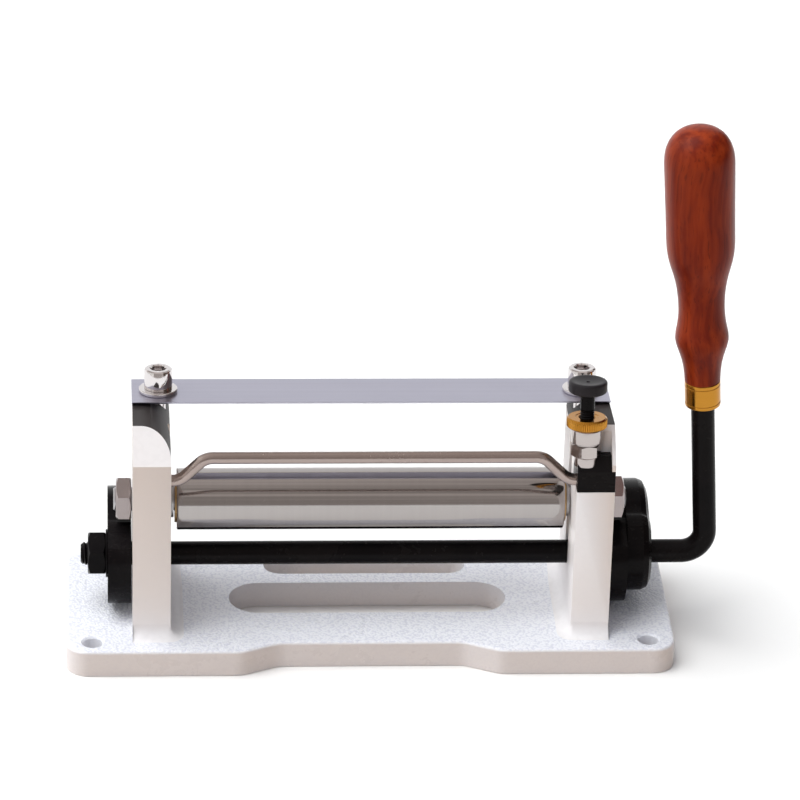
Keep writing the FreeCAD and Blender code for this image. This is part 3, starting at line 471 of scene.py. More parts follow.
@dataclass(frozen=True)
class Finish:
    """A finish of one of the record's slots; each kind below has its own pattern."""

    name: str
    slot: Slot
    colour: Colour
    roughness: tuple[float, float] = (0.2, 0.3)
    metallic: float = 1.0
    coat: float = 0.0
    specular: float = 0.5

    def pattern(self, graph: Graph, shader: Node, place: Socket) -> None:
        """Feed the shader its colour, shine and relief."""
        raise NotImplementedError

    def marks(self, graph: Graph, place: Socket) -> Outputs:
        """Handling marks over this finish's range of roughness."""
        low, high = self.roughness
        return graph.group("handling_marks", {"Vector": place, "Low": low, "High": high})

    def lines(self, graph: Graph, place: Socket,
              stretch: Colour) -> Outputs:
        """Fine lines with a scale along each axis."""
        return graph.group("fine_lines", {"Vector": place, "Stretch": stretch})

    def relief(self, graph: Graph, shader: Node, height: Socket, depth: float,
               strength: float = 1.0) -> None:
        """Feed a height in units of `depth` metres to the shader's normal."""
        bump = graph.add("Bump", {"Height": height, "Distance": depth, "Strength": strength})
        graph.feed(shader, {"Normal": bump.outputs[0]})

    def material(self) -> bpy.types.Material:
        """Build the material, or find it if it is there."""
        if self.name in bpy.data.materials:
            return bpy.data.materials[self.name]
        made, graph, shader = new_material(self.name)
        made.diffuse_color = rgba(self.colour)
        graph.feed(shader, {"Metallic": self.metallic, "Coat Weight": self.coat,
                            "Specular IOR Level": self.specular})
        self.pattern(graph, shader, graph.add("TexCoord").outputs["Object"])
        return made


@dataclass(frozen=True)
class Enamel(Finish):
    """White enamel on the casting; at a machined blade seat it gives way to unpainted iron, dark with painted
    shade.
    """

    metallic: float = 0.0
    pebble: float = 1.05 * MM
    depth: float = 0.17 * MM
    # shade: painted shade colour for the creases between the pebbles
    shade: Colour = (0.74, 0.75, 0.82)
    smooth_sides: float = 0.12
    seat: bool = False
    seat_above: float = 86.0 * MM
    # Unpainted seat iron, darkened nearly to black as painted shade from the blade over it
    seat_iron_and_shade: Colour = (0.016, 0.012, 0.012)

    def pattern(self, graph: Graph, shader: Node, place: Socket) -> None:
        """Pebbles with painted shade in their creases, fainter on upright faces; on the seat, unpainted iron
        in painted shade.
        """
        cells = graph.group("pebbled_enamel", {"Vector": place, "Size": self.pebble})
        upward = graph.part(graph.add("NewGeometry").outputs["Normal"], "Z")
        level = graph.spread(upward, 0.4, 0.9, self.smooth_sides, 1.0)
        # Painted shade: the creases between the pebbles darken towards the shade colour, mostly on faces that
        # look up
        crease = graph.maths("MULTIPLY", graph.maths("SUBTRACT", 1.0, cells["Shade"]), level)
        paint = graph.blend(crease, rgba(self.colour), rgba(self.shade))
        roughness = self.marks(graph, place)["Roughness"]
        height = graph.maths("MULTIPLY", cells["Height"], level)
        if self.seat:
            bare_and_shaded = self.bare_and_shaded_share(graph, place)
            lines = self.lines(graph, place, (900.0, 160.0, 900.0))["Lines"]
            # Painted shade: the seat's unpainted iron is coloured nearly black for the blade's shadow; the
            # grinding lines are real
            shaded_iron = graph.blend(lines, rgba(self.seat_iron_and_shade), rgba(self.seat_iron_and_shade, 1.7))
            paint = graph.blend(bare_and_shaded, paint, shaded_iron)
            roughness = graph.add("Mix", {0: bare_and_shaded, 2: roughness, 3: 0.6}).outputs[0]
            height = graph.maths("MULTIPLY", height, graph.maths("SUBTRACT", 1.0, bare_and_shaded))
        graph.feed(shader, {"Base Color": paint, "Roughness": roughness})
        self.relief(graph, shader, height, self.depth)

    def bare_and_shaded_share(self, graph: Graph, place: Socket) -> Socket:
        """1 on the seat and its rounded inner edge, unpainted iron under painted shade: high up, facing up,
        and not leaning forwards.
        """
        normal = graph.add("NewGeometry").outputs["Normal"]
        ragged = graph.add("TexNoise", {"Vector": place, "Scale": 500.0}).outputs["Fac"]
        upwards = graph.spread(graph.maths("MULTIPLY_ADD", ragged, 0.12, graph.part(normal, "Z")), 0.12, 0.18)
        level = graph.spread(graph.part(normal, "Y"), -0.42, -0.30)
        high = graph.maths("GREATER_THAN", graph.part(place, "Z"), self.seat_above)
        return graph.maths("MULTIPLY", graph.maths("MULTIPLY", upwards, level), high)


@dataclass(frozen=True)
class LinedMetal(Finish):
    """Ground, brushed or turned metal: fine lines in relief, in tone and in shine."""

    stretch: Colour = (30.0, 4000.0, 4000.0)
    depth: float = 0.01 * MM
    contrast: float = 0.12

    def pattern(self, graph: Graph, shader: Node, place: Socket) -> None:
        """Lines lighten and darken the metal a little and lie in relief."""
        lines = self.lines(graph, place, self.stretch)
        share = graph.maths("MULTIPLY_ADD", lines["Bands"], 0.6, graph.maths("MULTIPLY", lines["Lines"], 0.4))
        tone = graph.blend(share, rgba(self.colour, 1 - self.contrast), rgba(self.colour, 1 + self.contrast))
        graph.feed(shader, {"Base Color": tone, "Roughness": self.marks(graph, place)["Roughness"]})
        self.relief(graph, shader, lines["Lines"], self.depth)


@dataclass(frozen=True)
class BlackGloss(Finish):
    """Black enamel or blued steel: a thin uneven gloss, greyer where it has been rubbed."""

    metallic: float = 0.0
    coat: float = 0.5
    rubbed: Colour = (0.035, 0.03, 0.03)
    peel: float = 0.02 * MM

    def pattern(self, graph: Graph, shader: Node, place: Socket) -> None:
        """Rubbed clouds in the colour and orange peel in relief."""
        marks = self.marks(graph, place)
        paint = graph.blend(marks["Mask"], rgba(self.colour), rgba(self.rubbed))
        graph.feed(shader, {"Base Color": paint, "Roughness": marks["Roughness"], "Coat Roughness": 0.12})
        peel = graph.add("TexNoise", {"Vector": place, "Scale": 900.0, "Detail": 2.0}).outputs["Fac"]
        self.relief(graph, shader, peel, self.peel)


@dataclass(frozen=True)
class VarnishedWood(Finish):
    """Red-brown turned wood under varnish: streaks and pores along the grip."""

    metallic: float = 0.0
    coat: float = 0.35
    dark: Colour = (0.085, 0.007, 0.0015)
    light: Colour = (0.33, 0.040, 0.007)
    lean: float = -3.75

    def pattern(self, graph: Graph, shader: Node, place: Socket) -> None:
        """Broad growth streaks, fine fibres and dark pores, all drawn out along the grip's axis."""
        upright = graph.add("Mapping", {"Vector": place, "Rotation": (0.0, math.radians(-self.lean), 0.0)})
        wander = graph.add("TexNoise", {"Vector": upright.outputs[0], "Scale": 22.0, "Detail": 2.0})
        wavy = graph.add("VectorMath", {0: wander.outputs["Color"], 1: (0.012, 0.012, 0.0),
                                        2: upright.outputs[0]}, operation="MULTIPLY_ADD").outputs[0]
        streaks = self.lines(graph, wavy, (260.0, 260.0, 9.0))
        fibres = self.lines(graph, wavy, (1500.0, 1500.0, 45.0))["Lines"]
        tone = graph.blend(graph.spread(streaks["Lines"], 0.3, 0.7), rgba(self.colour), rgba(self.light))
        tone = graph.blend(graph.spread(streaks["Bands"], 0.42, 0.62, 0.0, 0.55), tone, rgba(self.dark))
        tone = graph.blend(graph.spread(fibres, 0.56, 0.68, 0.0, 0.5), tone, rgba(self.dark))
        graph.feed(shader, {"Base Color": tone, "Roughness": self.marks(graph, place)["Roughness"],
                            "Coat Roughness": 0.16})
        self.relief(graph, shader, fibres, 0.05 * MM, 0.6)


# The shade colours below are painted shade for the pebbles' creases
BASE_ENAMEL = Enamel("base_enamel", Slot.CASTING, (0.89, 0.90, 0.94), (0.26, 0.40), coat=0.2)
POST_ENAMEL = Enamel("post_enamel", Slot.CASTING, (0.90, 0.88, 0.88), (0.36, 0.48), coat=0.08, specular=0.35,
                     pebble=2.2 * MM, depth=0.03 * MM, shade=(0.87, 0.85, 0.85), seat=True)
BLADE_STEEL = LinedMetal("ground_blade", Slot.BLADE, (0.42, 0.415, 0.50), (0.30, 0.38),
                         stretch=(25.0, 3800.0, 3800.0), contrast=0.10)
ROLLER_STEEL = LinedMetal("polished_roller", Slot.ROLLER, (0.38, 0.355, 0.345), (0.07, 0.14),
                          stretch=(2600.0, 6.0, 6.0), depth=0.002 * MM, contrast=0.06)
CHROME = LinedMetal("bright_chrome", Slot.CHROME, (0.70, 0.67, 0.67), (0.06, 0.13),
                    stretch=(60.0, 60.0, 900.0), depth=0.002 * MM, contrast=0.05)
COLLAR_CHROME = LinedMetal("collar_chrome", Slot.CHROME, (0.46, 0.415, 0.40), (0.10, 0.18),
                           stretch=(60.0, 60.0, 900.0), depth=0.002 * MM, contrast=0.06)
PLATING = LinedMetal("dull_plating", Slot.CHROME, (0.32, 0.28, 0.275), (0.14, 0.24),
                     stretch=(60.0, 900.0, 900.0), depth=0.003 * MM, contrast=0.10)
NICKEL = LinedMetal("satin_nickel", Slot.NICKEL, (0.36, 0.295, 0.27), (0.22, 0.32),
                    stretch=(40.0, 1800.0, 1800.0), depth=0.006 * MM, contrast=0.10)
BARE_STEEL = LinedMetal("turned_steel", Slot.BARE, (0.42, 0.41, 0.42), (0.28, 0.38),
                        stretch=(1800.0, 40.0, 40.0))
BRASS = LinedMetal("polished_brass", Slot.BRASS, (0.44, 0.20, 0.028), (0.16, 0.26),
                   stretch=(50.0, 50.0, 1400.0), depth=0.004 * MM, contrast=0.10)
BRONZE = LinedMetal("sintered_bronze", Slot.BRONZE, (0.46, 0.30, 0.15), (0.40, 0.55),
                    stretch=(900.0, 900.0, 900.0))
BLACK = BlackGloss("gloss_black", Slot.BLACK, (0.0045, 0.0038, 0.0045), (0.22, 0.36), coat=0.02,
                   specular=0.06, rubbed=(0.012, 0.010, 0.010))
KNOB_BLACK = BlackGloss("satin_black", Slot.KNOB, (0.014, 0.012, 0.0145), (0.38, 0.50), coat=0.02,
                        specular=0.15, rubbed=(0.026, 0.022, 0.026))
WOOD = VarnishedWood("varnished_wood", Slot.WOOD, (0.17, 0.011, 0.0012), (0.32, 0.44), coat=0.03,
                     specular=0.12)


# Pieces

def make_piece(name: str, surface: Surface, finish: Finish, body: str, stands_for: str | None = None,
               crease: float = 28.0) -> Piece:
    """Turn a shell into a piece that rides on a body.

    Args:
        name: the piece's name.
        surface: its closed shell, in place, with its faces outwards.
        finish: its finish.
        body: the body that carries it.
        stands_for: the frame's node that it stands for, if any.
        crease: edges sharper than this many degrees stay sharp.

    Returns:
        The piece.
    """
    mesh = bpy.data.meshes.new(name)
    mesh.vertices.add(len(surface.points))
    mesh.vertices.foreach_set("co", surface.points.astype(np.float32).ravel())
    corners = np.concatenate([face.ravel() for face in surface.faces]).astype(np.int32)
    totals = np.concatenate([np.full(len(face), face.shape[1]) for face in surface.faces]).astype(np.int32)
    mesh.loops.add(len(corners))
    mesh.loops.foreach_set("vertex_index", corners)
    mesh.polygons.add(len(totals))
    mesh.polygons.foreach_set("loop_start", np.concatenate([[0], np.cumsum(totals)[:-1]]).astype(np.int32))
    mesh.update(calc_edges=True)
    mesh.validate()
    return dress_new(mesh, name, finish, body, stands_for, crease)


def dress_new(mesh: bpy.types.Mesh, name: str, finish: Finish, body: str, stands_for: str | None,
              crease: float) -> Piece:
    """Smooth a new mesh, give it its finish and body, and report it."""
    mesh.polygons.foreach_set("use_smooth", np.ones(len(mesh.polygons), bool))
    mesh.set_sharp_from_angle(angle=math.radians(crease))
    mesh.materials.clear()
    mesh.materials.append(finish.material())
    piece = bpy.data.objects.new(name, mesh)
    bpy.context.scene.collection.objects.link(piece)
    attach(piece, body)
    if stands_for:
        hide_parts(stands_for)
    LOG.info("%s rides on %s, %d faces", name, body, len(mesh.polygons))
    return piece


def finish_node(node: str, finish: Finish) -> None:
    """Give one of the frame's own nodes its finish."""
    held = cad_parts[node]
    held.data.materials.clear()
    held.data.materials.append(finish.material())
    LOG.info("%s keeps its shape, in %s", node, finish.slot.value)


def eased_copy(node: str, name: str, finish: Finish, body: str, width: float,
               chosen: Callable[[Vector, Vector], bool]) -> Piece:
    """Copy of a node with its sharp cast edges rounded.

    Args:
        node: the frame's node.
        name: the new piece's name.
        finish: its finish.
        body: the body that carries it.
        width: the rounding, in metres.
        chosen: test on an edge's middle and direction, in metres; edges that pass are rounded.

    Returns:
        The piece that stands for the node.
    """
    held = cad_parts[node]
    work = bmesh.new()
    work.from_mesh(held.data)
    bmesh.ops.remove_doubles(work, verts=work.verts, dist=0.002 * MM)
    bmesh.ops.dissolve_limit(work, angle_limit=math.radians(0.5), verts=work.verts, edges=work.edges)
    sharp = [edge for edge in work.edges
             if len(edge.link_faces) == 2 and edge.calc_face_angle() > math.radians(24)
             and chosen((edge.verts[0].co + edge.verts[1].co) / 2, edge.verts[1].co - edge.verts[0].co)]
    bmesh.ops.bevel(work, geom=sharp, offset=width, offset_type="OFFSET", segments=4, profile=0.5,
                    affect="EDGES", clamp_overlap=True)
    mesh = bpy.data.meshes.new(name)
    work.to_mesh(mesh)
    work.free()
    return dress_new(mesh, name, finish, body, node, 20.0)


@dataclass
class Casting:
    """The white casting: base plate, two posts and the coves at their feet. Sizes in millimetres.

    A post's cast corners are edges that rise more than `corner_run`: the front ones below `front_top`, and
    those behind `rear_from`. Its brow lies above `brow_low` and in front of `brow_back`, along either side.
    """

    inner: float = 80.6
    outer: float = 95.8
    front: float = -29.0
    rear: float = 33.0
    table: float = 11.0
    edge: float = 1.1
    corner_run: float = 8.0
    front_top: float = 86.0
    rear_from: float = 26.0
    brow_low: float = 87.0
    brow_back: float = -10.0
    brow_run: float = 9.0
    foot_corner: float = 1.0
    cove: float = 5.4
    rear_cove: float = 4.6
    shrink_from: float = 10.0
    bed: float = 0.3

    def build(self) -> None:
        """Round the posts' cast edges and run a cove round each foot."""
        finish_node("base_plate", BASE_ENAMEL)
        for side, node in ((-1, "left_post"), (1, "right_post")):
            eased_copy(node, f"{node}_cast", POST_ENAMEL, "machine_frame", self.edge * MM, self.cast_edge)
            self.make_cove(side, f"{node}_foot_cove")

    def cast_edge(self, middle: Vector, way: Vector) -> bool:
        """Whether an edge is one of the long cast corners of a post, not one of its slots or holes."""
        rises = abs(way.z) > self.corner_run * MM
        at_front = abs(middle.y - self.front * MM) < 0.2 * MM and middle.z < self.front_top * MM
        behind = middle.y > self.rear_from * MM
        on_side = min(abs(abs(middle.x) - self.inner * MM), abs(abs(middle.x) - self.outer * MM)) < 0.3 * MM
        on_brow = middle.z > self.brow_low * MM and middle.y < self.brow_back * MM
        brow = on_side and on_brow and abs(way.x) < 0.5 * MM and way.length > self.brow_run * MM
        return (rises and (at_front or behind)) or brow

    def make_cove(self, side: int, name: str) -> Piece:
        """Cove round a post's foot, from its outer front corner round the inside to its outer rear corner.

        The foot's outline turns by quarter circles at its two inner corners. Across it the section is the
        hollow quarter circle (R - R cos f, R - R sin f), f from 0 on the post to 90 degrees on the table,
        closed a little below both surfaces. R shrinks smoothly towards the rear, where the foot is low.
        """
        corner = self.foot_corner
        turn = np.linspace(0, np.pi / 2, 9)
        sine, cosine = np.sin(turn), np.cos(turn)
        first = np.stack([self.inner + corner - corner * sine, self.front + corner - corner * cosine], -1)
        last = np.stack([self.inner + corner - corner * cosine, self.rear - corner + corner * sine], -1)
        along = first[-1] + (last[0] - first[-1]) * np.linspace(0.06, 0.94, 12)[:, None]
        outline = np.vstack([[(self.outer, self.front)], first, along, last, [(self.outer, self.rear)]])
        ways = np.vstack([[(0, -1)], np.stack([-sine, -cosine], -1), np.tile([(-1.0, 0.0)], (len(along), 1)),
                          np.stack([-cosine, sine], -1), [(0, 1)]])
        share = np.clip((outline[:, 1] - self.shrink_from) / (self.rear - self.shrink_from), 0, 1)
        radius = self.cove + (self.rear_cove - self.cove) * share * share * (3 - 2 * share)
        bend = np.linspace(0, np.pi / 2, 13)
        wide = radius[:, None]
        level = np.full_like(wide, -self.bed)
        out = np.hstack([wide * (1 - np.cos(bend)), wide, level, level])
        up = np.hstack([wide * (1 - np.sin(bend)), level, level, wide])
        flat = outline[:, None, :] + ways[:, None, :] * out[..., None]
        points = np.stack([side * flat[..., 0], flat[..., 1], self.table + up], -1) * MM
        if side > 0:
            points = points[:, ::-1]
        surface = capped(points, points[0].mean(0), points[-1].mean(0))
        return make_piece(name, surface, POST_ENAMEL, "machine_frame", None, 35.0)


@dataclass
class Cutter:
    """The blade with its cap screws and washers on the tilted seat. Sizes in millimetres."""

    seat_front: float = -17.7
    seat_height: float = 100.1
    tilt: float = 5.0
    along: float = 32.9
    blade: float = 1.6
    spacing: float = 170.6
    head: float = 5.7
    head_height: float = 8.4
    socket: float = 5.6
    socket_depth: float = 4.0
    shank: float = 3.0
    shank_length: float = 20.0
    washer: float = 7.8
    washer_bore: float = 3.2
    washer_thick: float = 1.6
    columns: int = 96

    def on_seat(self, surface: Surface, side: int, above: float) -> Surface:
        """Stand a shell on the seat at one of the two screws."""
        slope = math.radians(self.tilt)
        place = (side * self.spacing / 2,
                 self.seat_front + self.along * math.cos(slope) + above * math.sin(slope),
                 self.seat_height - self.along * math.sin(slope) + above * math.cos(slope))
        return surface.placed(turn_matrix("X", -self.tilt), np.array(place) * MM)

    def at_both(self, surface: Surface, above: float) -> Surface:
        """Stand a shell on the seat at both screws."""
        return self.on_seat(surface, -1, above).joined(self.on_seat(surface, 1, above))

    def cap_screw(self) -> Surface:
        """Cap screw along Z with its head's underside at 0; the socket's rows follow a hexagon's radius."""
        count = self.columns
        level = np.ones((1, count))
        hexagon = hexagon_radius(self.socket, count)
        top = self.head_height
        floor = top - self.socket_depth
        shank, end = self.shank, -self.shank_length
        outside = [(shank - 0.8, end), (shank, end + 0.8), (shank, 0.0)]
        outside += rounded_rim(self.head, 0.0, top, 0.35, 4)[:4] + [(self.head, top - 0.9)]
        outside += [(self.head - 0.25, top - 0.35), (self.head - 0.9, top), (self.socket * 0.62, top)]
        radius = np.vstack([level * station[0] for station in outside]
                           + [hexagon, hexagon, hexagon * 0.96, level * 0.4])
        height = np.vstack([level * station[1] for station in outside]
                           + [level * (top - 0.35), level * (floor + 0.2), level * floor,
                              level * (floor - 1.0)])
        return turned(radius * MM, height * MM, count, True)

    def build(self) -> None:
        """Make the screws and washers and finish the blade."""
        finish_node("blade", BLADE_STEEL)
        bore, thick = self.washer_bore, self.washer_thick
        rim = rounded_rim(self.washer, 0.0, thick, 0.45)
        washer = turned(*profile((bore, 0.0), *rim, (bore + 0.25, thick), (bore, thick - 0.25)),
                        self.columns, False)
        make_piece("blade_washers_polished", self.at_both(washer, self.blade), CHROME, "machine_frame",
                   "blade_washers")
        screws = self.at_both(self.cap_screw(), self.blade + thick)
        make_piece("blade_cap_screws", screws, CHROME, "machine_frame", "blade_screws")


@dataclass
class Roller:
    """The polished roller, its axle, nuts, bushes and spacers. Sizes in millimetres."""

    height: float = 57.9
    radius: float = 12.5
    half: float = 78.0
    bore: float = 7.5
    edge: float = 0.6
    axle: float = 4.75
    axle_half: float = 103.4
    nut_inner: float = 96.2
    nut_thick: float = 6.2
    nut_flats: float = 16.6
    nut_bore: float = 4.8
    columns: int = 160

    def build(self) -> None:
        """Make the roller, axle and nuts and finish the bushes and spacers."""
        long = 2 * self.half
        inside = self.bore + 0.4
        tube = turned(*profile((inside, 0), *rounded_rim(self.radius, 0, long, self.edge), (inside, long),
                               (self.bore, long - 0.4), (self.bore, 0.4)), self.columns, False)
        make_piece("roller_polished", along_x(tube, -self.half, self.height), ROLLER_STEEL, "roller",
                   "roller_shell", 40.0)
        end = 2 * self.axle_half
        tip = self.axle - 0.6
        axle = turned(*profile((1.0, 1.2), (1.7, 0), (tip, 0), (self.axle, 0.6), (self.axle, end - 0.6),
                               (tip, end), (1.7, end), (1.0, end - 1.2)), 64, True)
        make_piece("roller_axle_turned", along_x(axle, -self.axle_half, self.height), BARE_STEEL,
                   "axle_carriage", "roller_axle")
        nut = hexagon_nut(self.nut_flats, self.nut_thick, self.nut_bore)
        left = along_x(nut, -self.nut_inner - self.nut_thick, self.height)
        nuts = left.joined(along_x(nut, self.nut_inner, self.height))
        make_piece("axle_nuts_chamfered", nuts, PLATING, "axle_carriage", "axle_nuts", 20.0)
        finish_node("roller_bushes", BRONZE)
        finish_node("axle_spacers", BARE_STEEL)


@dataclass
class Lever:
    """The bent lever with its cams, end nut, ferrule and turned grip. Sizes in millimetres."""

    height: float = 33.0
    end: float = -116.6
    reach: float = 137.2
    lean: float = 3.75
    arm: float = 137.4
    bend: float = 9.3
    rod: float = 4.75
    root: float = 4.05
    pitch: float = 1.5
    threaded: float = 4.0
    nut_start: float = -113.7
    nut_thick: float = 7.2
    nut_flats: float = 16.6
    bore: float = 4.8
    washer_start: float = -106.5
    washer_thick: float = 0.8
    washer: float = 9.75
    ferrule_start: float = 67.4
    ferrule: float = 7.2
    ferrule_length: float = 11.0
    grip_length: float = 110.4
    grip: float = 14.0
    columns: int = 64

    def on_arm(self, surface: Surface, up: float) -> Surface:
        """Stand a shell made along Z on the leaning arm, a given distance up from the bend's corner."""
        slope = math.radians(self.lean)
        place = np.array([self.reach - up * math.sin(slope), 0, self.height + up * math.cos(slope)])
        return surface.placed(turn_matrix("Y", -self.lean), place * MM)

    def bar(self) -> Surface:
        """Bent bar with a screw thread at its left end.

        On the thread the radius falls from the bar's to the root's and back once a pitch. At the place s
        along it the end's chamfer limits the radius to the root's less half a millimetre, plus s.
        """
        slope = math.radians(self.lean)
        elbow = (self.reach, 0, self.height)
        top = (self.reach - self.arm * math.sin(slope), 0, self.height + self.arm * math.cos(slope))
        path, tangents = bent_path([(self.end, 0, self.height), elbow, top], self.bend, 24)
        run = np.arange(0, self.threaded, 0.12)[:, None]
        groove = thread_groove(run, self.pitch, self.columns)
        thread = np.minimum(self.rod - (self.rod - self.root) * groove, self.root - 0.5 + run)
        run = np.vstack([run, [[self.threaded + 0.3]]])
        places = np.vstack([path[:1] + run * MM * tangents[:1], path[1:]])
        ways = np.vstack([np.tile(tangents[:1], (len(run), 1)), tangents[1:]])
        radius = np.vstack([thread, np.full((len(path), self.columns), self.rod)]) * MM
        return swept(places, ways, (0, 1, 0), radius, self.columns)

    def turned_grip(self) -> Surface:
        """Turned grip: a spline through the turning's radii, then a dome r = R (1 - t^n)^(1/n), n = 2.35."""
        shape = np.array([(0.0, 7.15), (0.04, 7.45), (0.081, 8.15), (0.125, 9.50), (0.173, 10.70),
                          (0.215, 10.05), (0.296, 9.22), (0.360, 9.65), (0.419, 10.80), (0.480, 12.60),
                          (0.527, 13.45), (0.600, 13.68), (0.696, 13.78), (0.860, 14.0)])
        split, power = shape[-1, 0], 2.35
        rise = np.linspace(0, split, 90)
        side = np.minimum(spline(shape[:, 0], shape[:, 1], rise), self.grip)
        dome = np.sin(np.linspace(0, np.pi / 2, 28)[1:-1])
        crown = self.grip * (1 - dome ** power) ** (1 / power)
        radius = np.concatenate([[5.0], side, crown, [0.25]])
        height = np.concatenate([[0.0], rise, split + (1 - split) * dome, [1.0]]) * self.grip_length
        return turned(radius[:, None] * MM, height[:, None] * MM, 96, True)

    def grooved_ferrule(self) -> Surface:
        """Ferrule along Z, with a shallow groove near each end."""
        long, radius = self.ferrule_length, self.ferrule
        side = rounded_rim(radius, 0, long, 0.5)
        low = [(radius, 1.5), (radius - 0.18, 1.65), (radius - 0.18, 1.85), (radius, 2.0)]
        high = [(width, long - height) for width, height in reversed(low)]
        stations = [(self.bore, 0), *side[:5], *low, *high, *side[5:], (self.bore, long)]
        return turned(*profile(*stations), 96, False)

    def build(self) -> None:
        """Make the bar, nut, washer, ferrule and grip and finish the cams."""
        nut = along_x(hexagon_nut(self.nut_flats, self.nut_thick, self.bore), self.nut_start, self.height)
        washer = turned(*profile((self.bore, 0), *rounded_rim(self.washer, 0, self.washer_thick, 0.25),
                                 (self.bore, self.washer_thick)), 72, False)
        washer = along_x(washer, self.washer_start, self.height)
        ferrule = self.on_arm(self.grooved_ferrule(), self.ferrule_start)
        grip = self.on_arm(self.turned_grip(), self.ferrule_start + self.ferrule_length)
        for name, surface, finish, node, crease in (
                ("lever_bar_threaded", self.bar(), BLACK, "lever_rod", 40.0),
                ("lever_end_nut_chamfered", nut, BLACK, "lever_end_nut", 20.0),
                ("lever_washer_rounded", washer, BLACK, "lever_end_washer", 28.0),
                ("handle_ferrule_grooved", ferrule, BRASS, "handle_ferrule", 28.0),
                ("handle_grip_turned", grip, WOOD, "handle_grip", 50.0)):
            make_piece(name, surface, finish, "lever", node, crease)
        finish_node("ferrule_pin", BRASS)
        for node in ("left_cam", "right_cam"):
            finish_node(node, BLACK)
        finish_node("cam_set_screws", BARE_STEEL)


@dataclass
class Guard:
    """The guard wire with its block, sleeve, thumb screw and lock nut. Sizes in millimetres."""

    side: float = 84.1
    front: float = -24.5
    height: float = 79.2
    tilt: float = 8.0
    wire: float = 2.4
    wire_end: float = 89.6
    wire_foot: float = 77.2066
    wire_shoulder: float = 67.1066
    wire_rise: float = 10.1
    wire_bend: float = 7.5
    stem: float = 2.9
    stem_start: float = 5.2
    stem_pitch: float = 1.0
    stem_depth: float = 0.35
    bore: float = 3.0
    sleeve_start: float = 6.17
    sleeve_shoulder: float = 10.17
    sleeve_top: float = 21.8
    sleeve: float = 6.2
    sleeve_foot: float = 5.2
    shank: float = 4.8
    lock_start: float = 22.1
    lock: float = 8.1
    lock_thick: float = 4.4
    teeth: int = 54
    knurl: float = 0.32
    knob_start: float = 36.8
    knob: float = 7.7
    knob_thick: float = 4.8

    def on_screw(self, surface: Surface) -> Surface:
        """Lay a shell made along Z on the thumb screw's leaning axis."""
        place = np.array([self.side, self.front, self.height]) * MM
        return surface.placed(turn_matrix("X", -self.tilt), place)

    def bent_wire(self) -> Surface:
        """Guard wire: two ends on one axis, an S-bend at each, and a raised straight middle."""
        half = [(self.wire_end, 0.0), (self.wire_foot, 0.0), (self.wire_shoulder, self.wire_rise)]
        corners = [(-x, self.front, self.height + z) for x, z in half]
        corners += [(x, self.front, self.height + z) for x, z in reversed(half)]
        path, tangents = bent_path(corners, self.wire_bend, 14)
        return swept(path, tangents, (0, 1, 0), np.full((len(path), 1), self.wire * MM), 40)

    def knurled_nut(self) -> Surface:
        """Lock nut with a straight knurl: the rim's radius is R - depth (1 - |sin(k v)|)."""
        columns = self.teeth * 6
        angle = np.linspace(0, 2 * np.pi, columns, endpoint=False)[None, :]
        tooth = np.abs(np.sin(angle * self.teeth / 2))
        bore, rim, thick = self.bore, self.lock, self.lock_thick
        table = np.array([(bore, 0.0, 0.0), (bore + 1.6, 0.0, 0.0), (rim - 0.75, 0.0, 0.0),
                          (rim - 0.15, 0.55, 0.4), (rim, 0.75, 1.0), (rim, thick - 0.75, 1.0),
                          (rim - 0.15, thick - 0.55, 0.4),
                          (rim - 0.75, thick, 0.0), (bore + 1.7, thick, 0.0), (bore + 1.5, thick - 0.2, 0.0),
                          (bore + 0.5, thick - 0.2, 0.0), (bore, thick - 0.7, 0.0)])
        radius = table[:, :1] - self.knurl * table[:, 2:] * (1 - tooth)
        return turned(radius * MM, (self.lock_start + table[:, 1:2]) * MM, columns, False)

    def threaded_stem(self) -> Surface:
        """Thumb screw's stem: threaded to a little above the lock nut, then plain up to the knob.

        The thread fades in and out over half a pitch.
        """
        low, split = self.stem_start, self.lock_start + self.lock_thick + 3.0
        height = np.linspace(low, split, int((split - low) / self.stem_pitch * 8) + 2)[:, None]
        fade = np.clip(np.minimum(height - low, split - height) / (0.5 * self.stem_pitch), 0, 1)
        radius = self.stem - self.stem_depth * thread_groove(height, self.stem_pitch, 48) * fade
        plain = profile((self.stem - 0.4, split), (self.stem, split + 0.4), (self.stem, self.knob_start))
        return turned(radius * MM, height * MM, 48, True).joined(turned(*plain, 48, True))

    def chrome_sleeve(self) -> Surface:
        """Sleeve: a plain shank, a hexagonal foot whose corners touch the collar's circle, and the collar."""
        low, top = self.sleeve_shoulder, self.sleeve_top
        split = low + self.sleeve_foot
        side = rounded_rim(self.shank, self.sleeve_start, low, 0.3)
        shank = turned(*profile((self.bore, self.sleeve_start), *side, (self.bore, low)), 64, False)
        flats = 2 * self.sleeve * math.cos(math.pi / 6)
        foot = hexagon_nut(flats, self.sleeve_foot, self.bore).placed(turn_matrix("Z", 8), (0, 0, low * MM))
        neck = self.sleeve - 0.9
        side = rounded_rim(self.sleeve, split + 0.5, top, 0.5)
        collar = turned(*profile((self.bore, split), (neck, split), (neck, split + 0.5), *side,
                                 (self.bore + 0.6, top), (self.bore, top - 0.6)), 72, False)
        return shank.joined(foot).joined(collar)

    def dished_knob(self) -> Surface:
        """Thumb knob: a disc with rounded rims, a dished top and a small centre mark."""
        low, high = self.knob_start, self.knob_start + self.knob_thick
        rim = rounded_rim(self.knob, low, high, 1.0, 7)
        dish = [(self.knob - 1.6 - (self.knob - 2.4) * share, high - 0.62 * math.sin(share * math.pi / 2))
                for share in np.linspace(0, 1, 14)]
        foot, mark = [(0.6, low), (self.knob - 2.4, low)], [(0.62, high - 1.05), (0.3, high - 1.1)]
        return turned(*profile(*foot, *rim, *dish, *mark), 96, True)

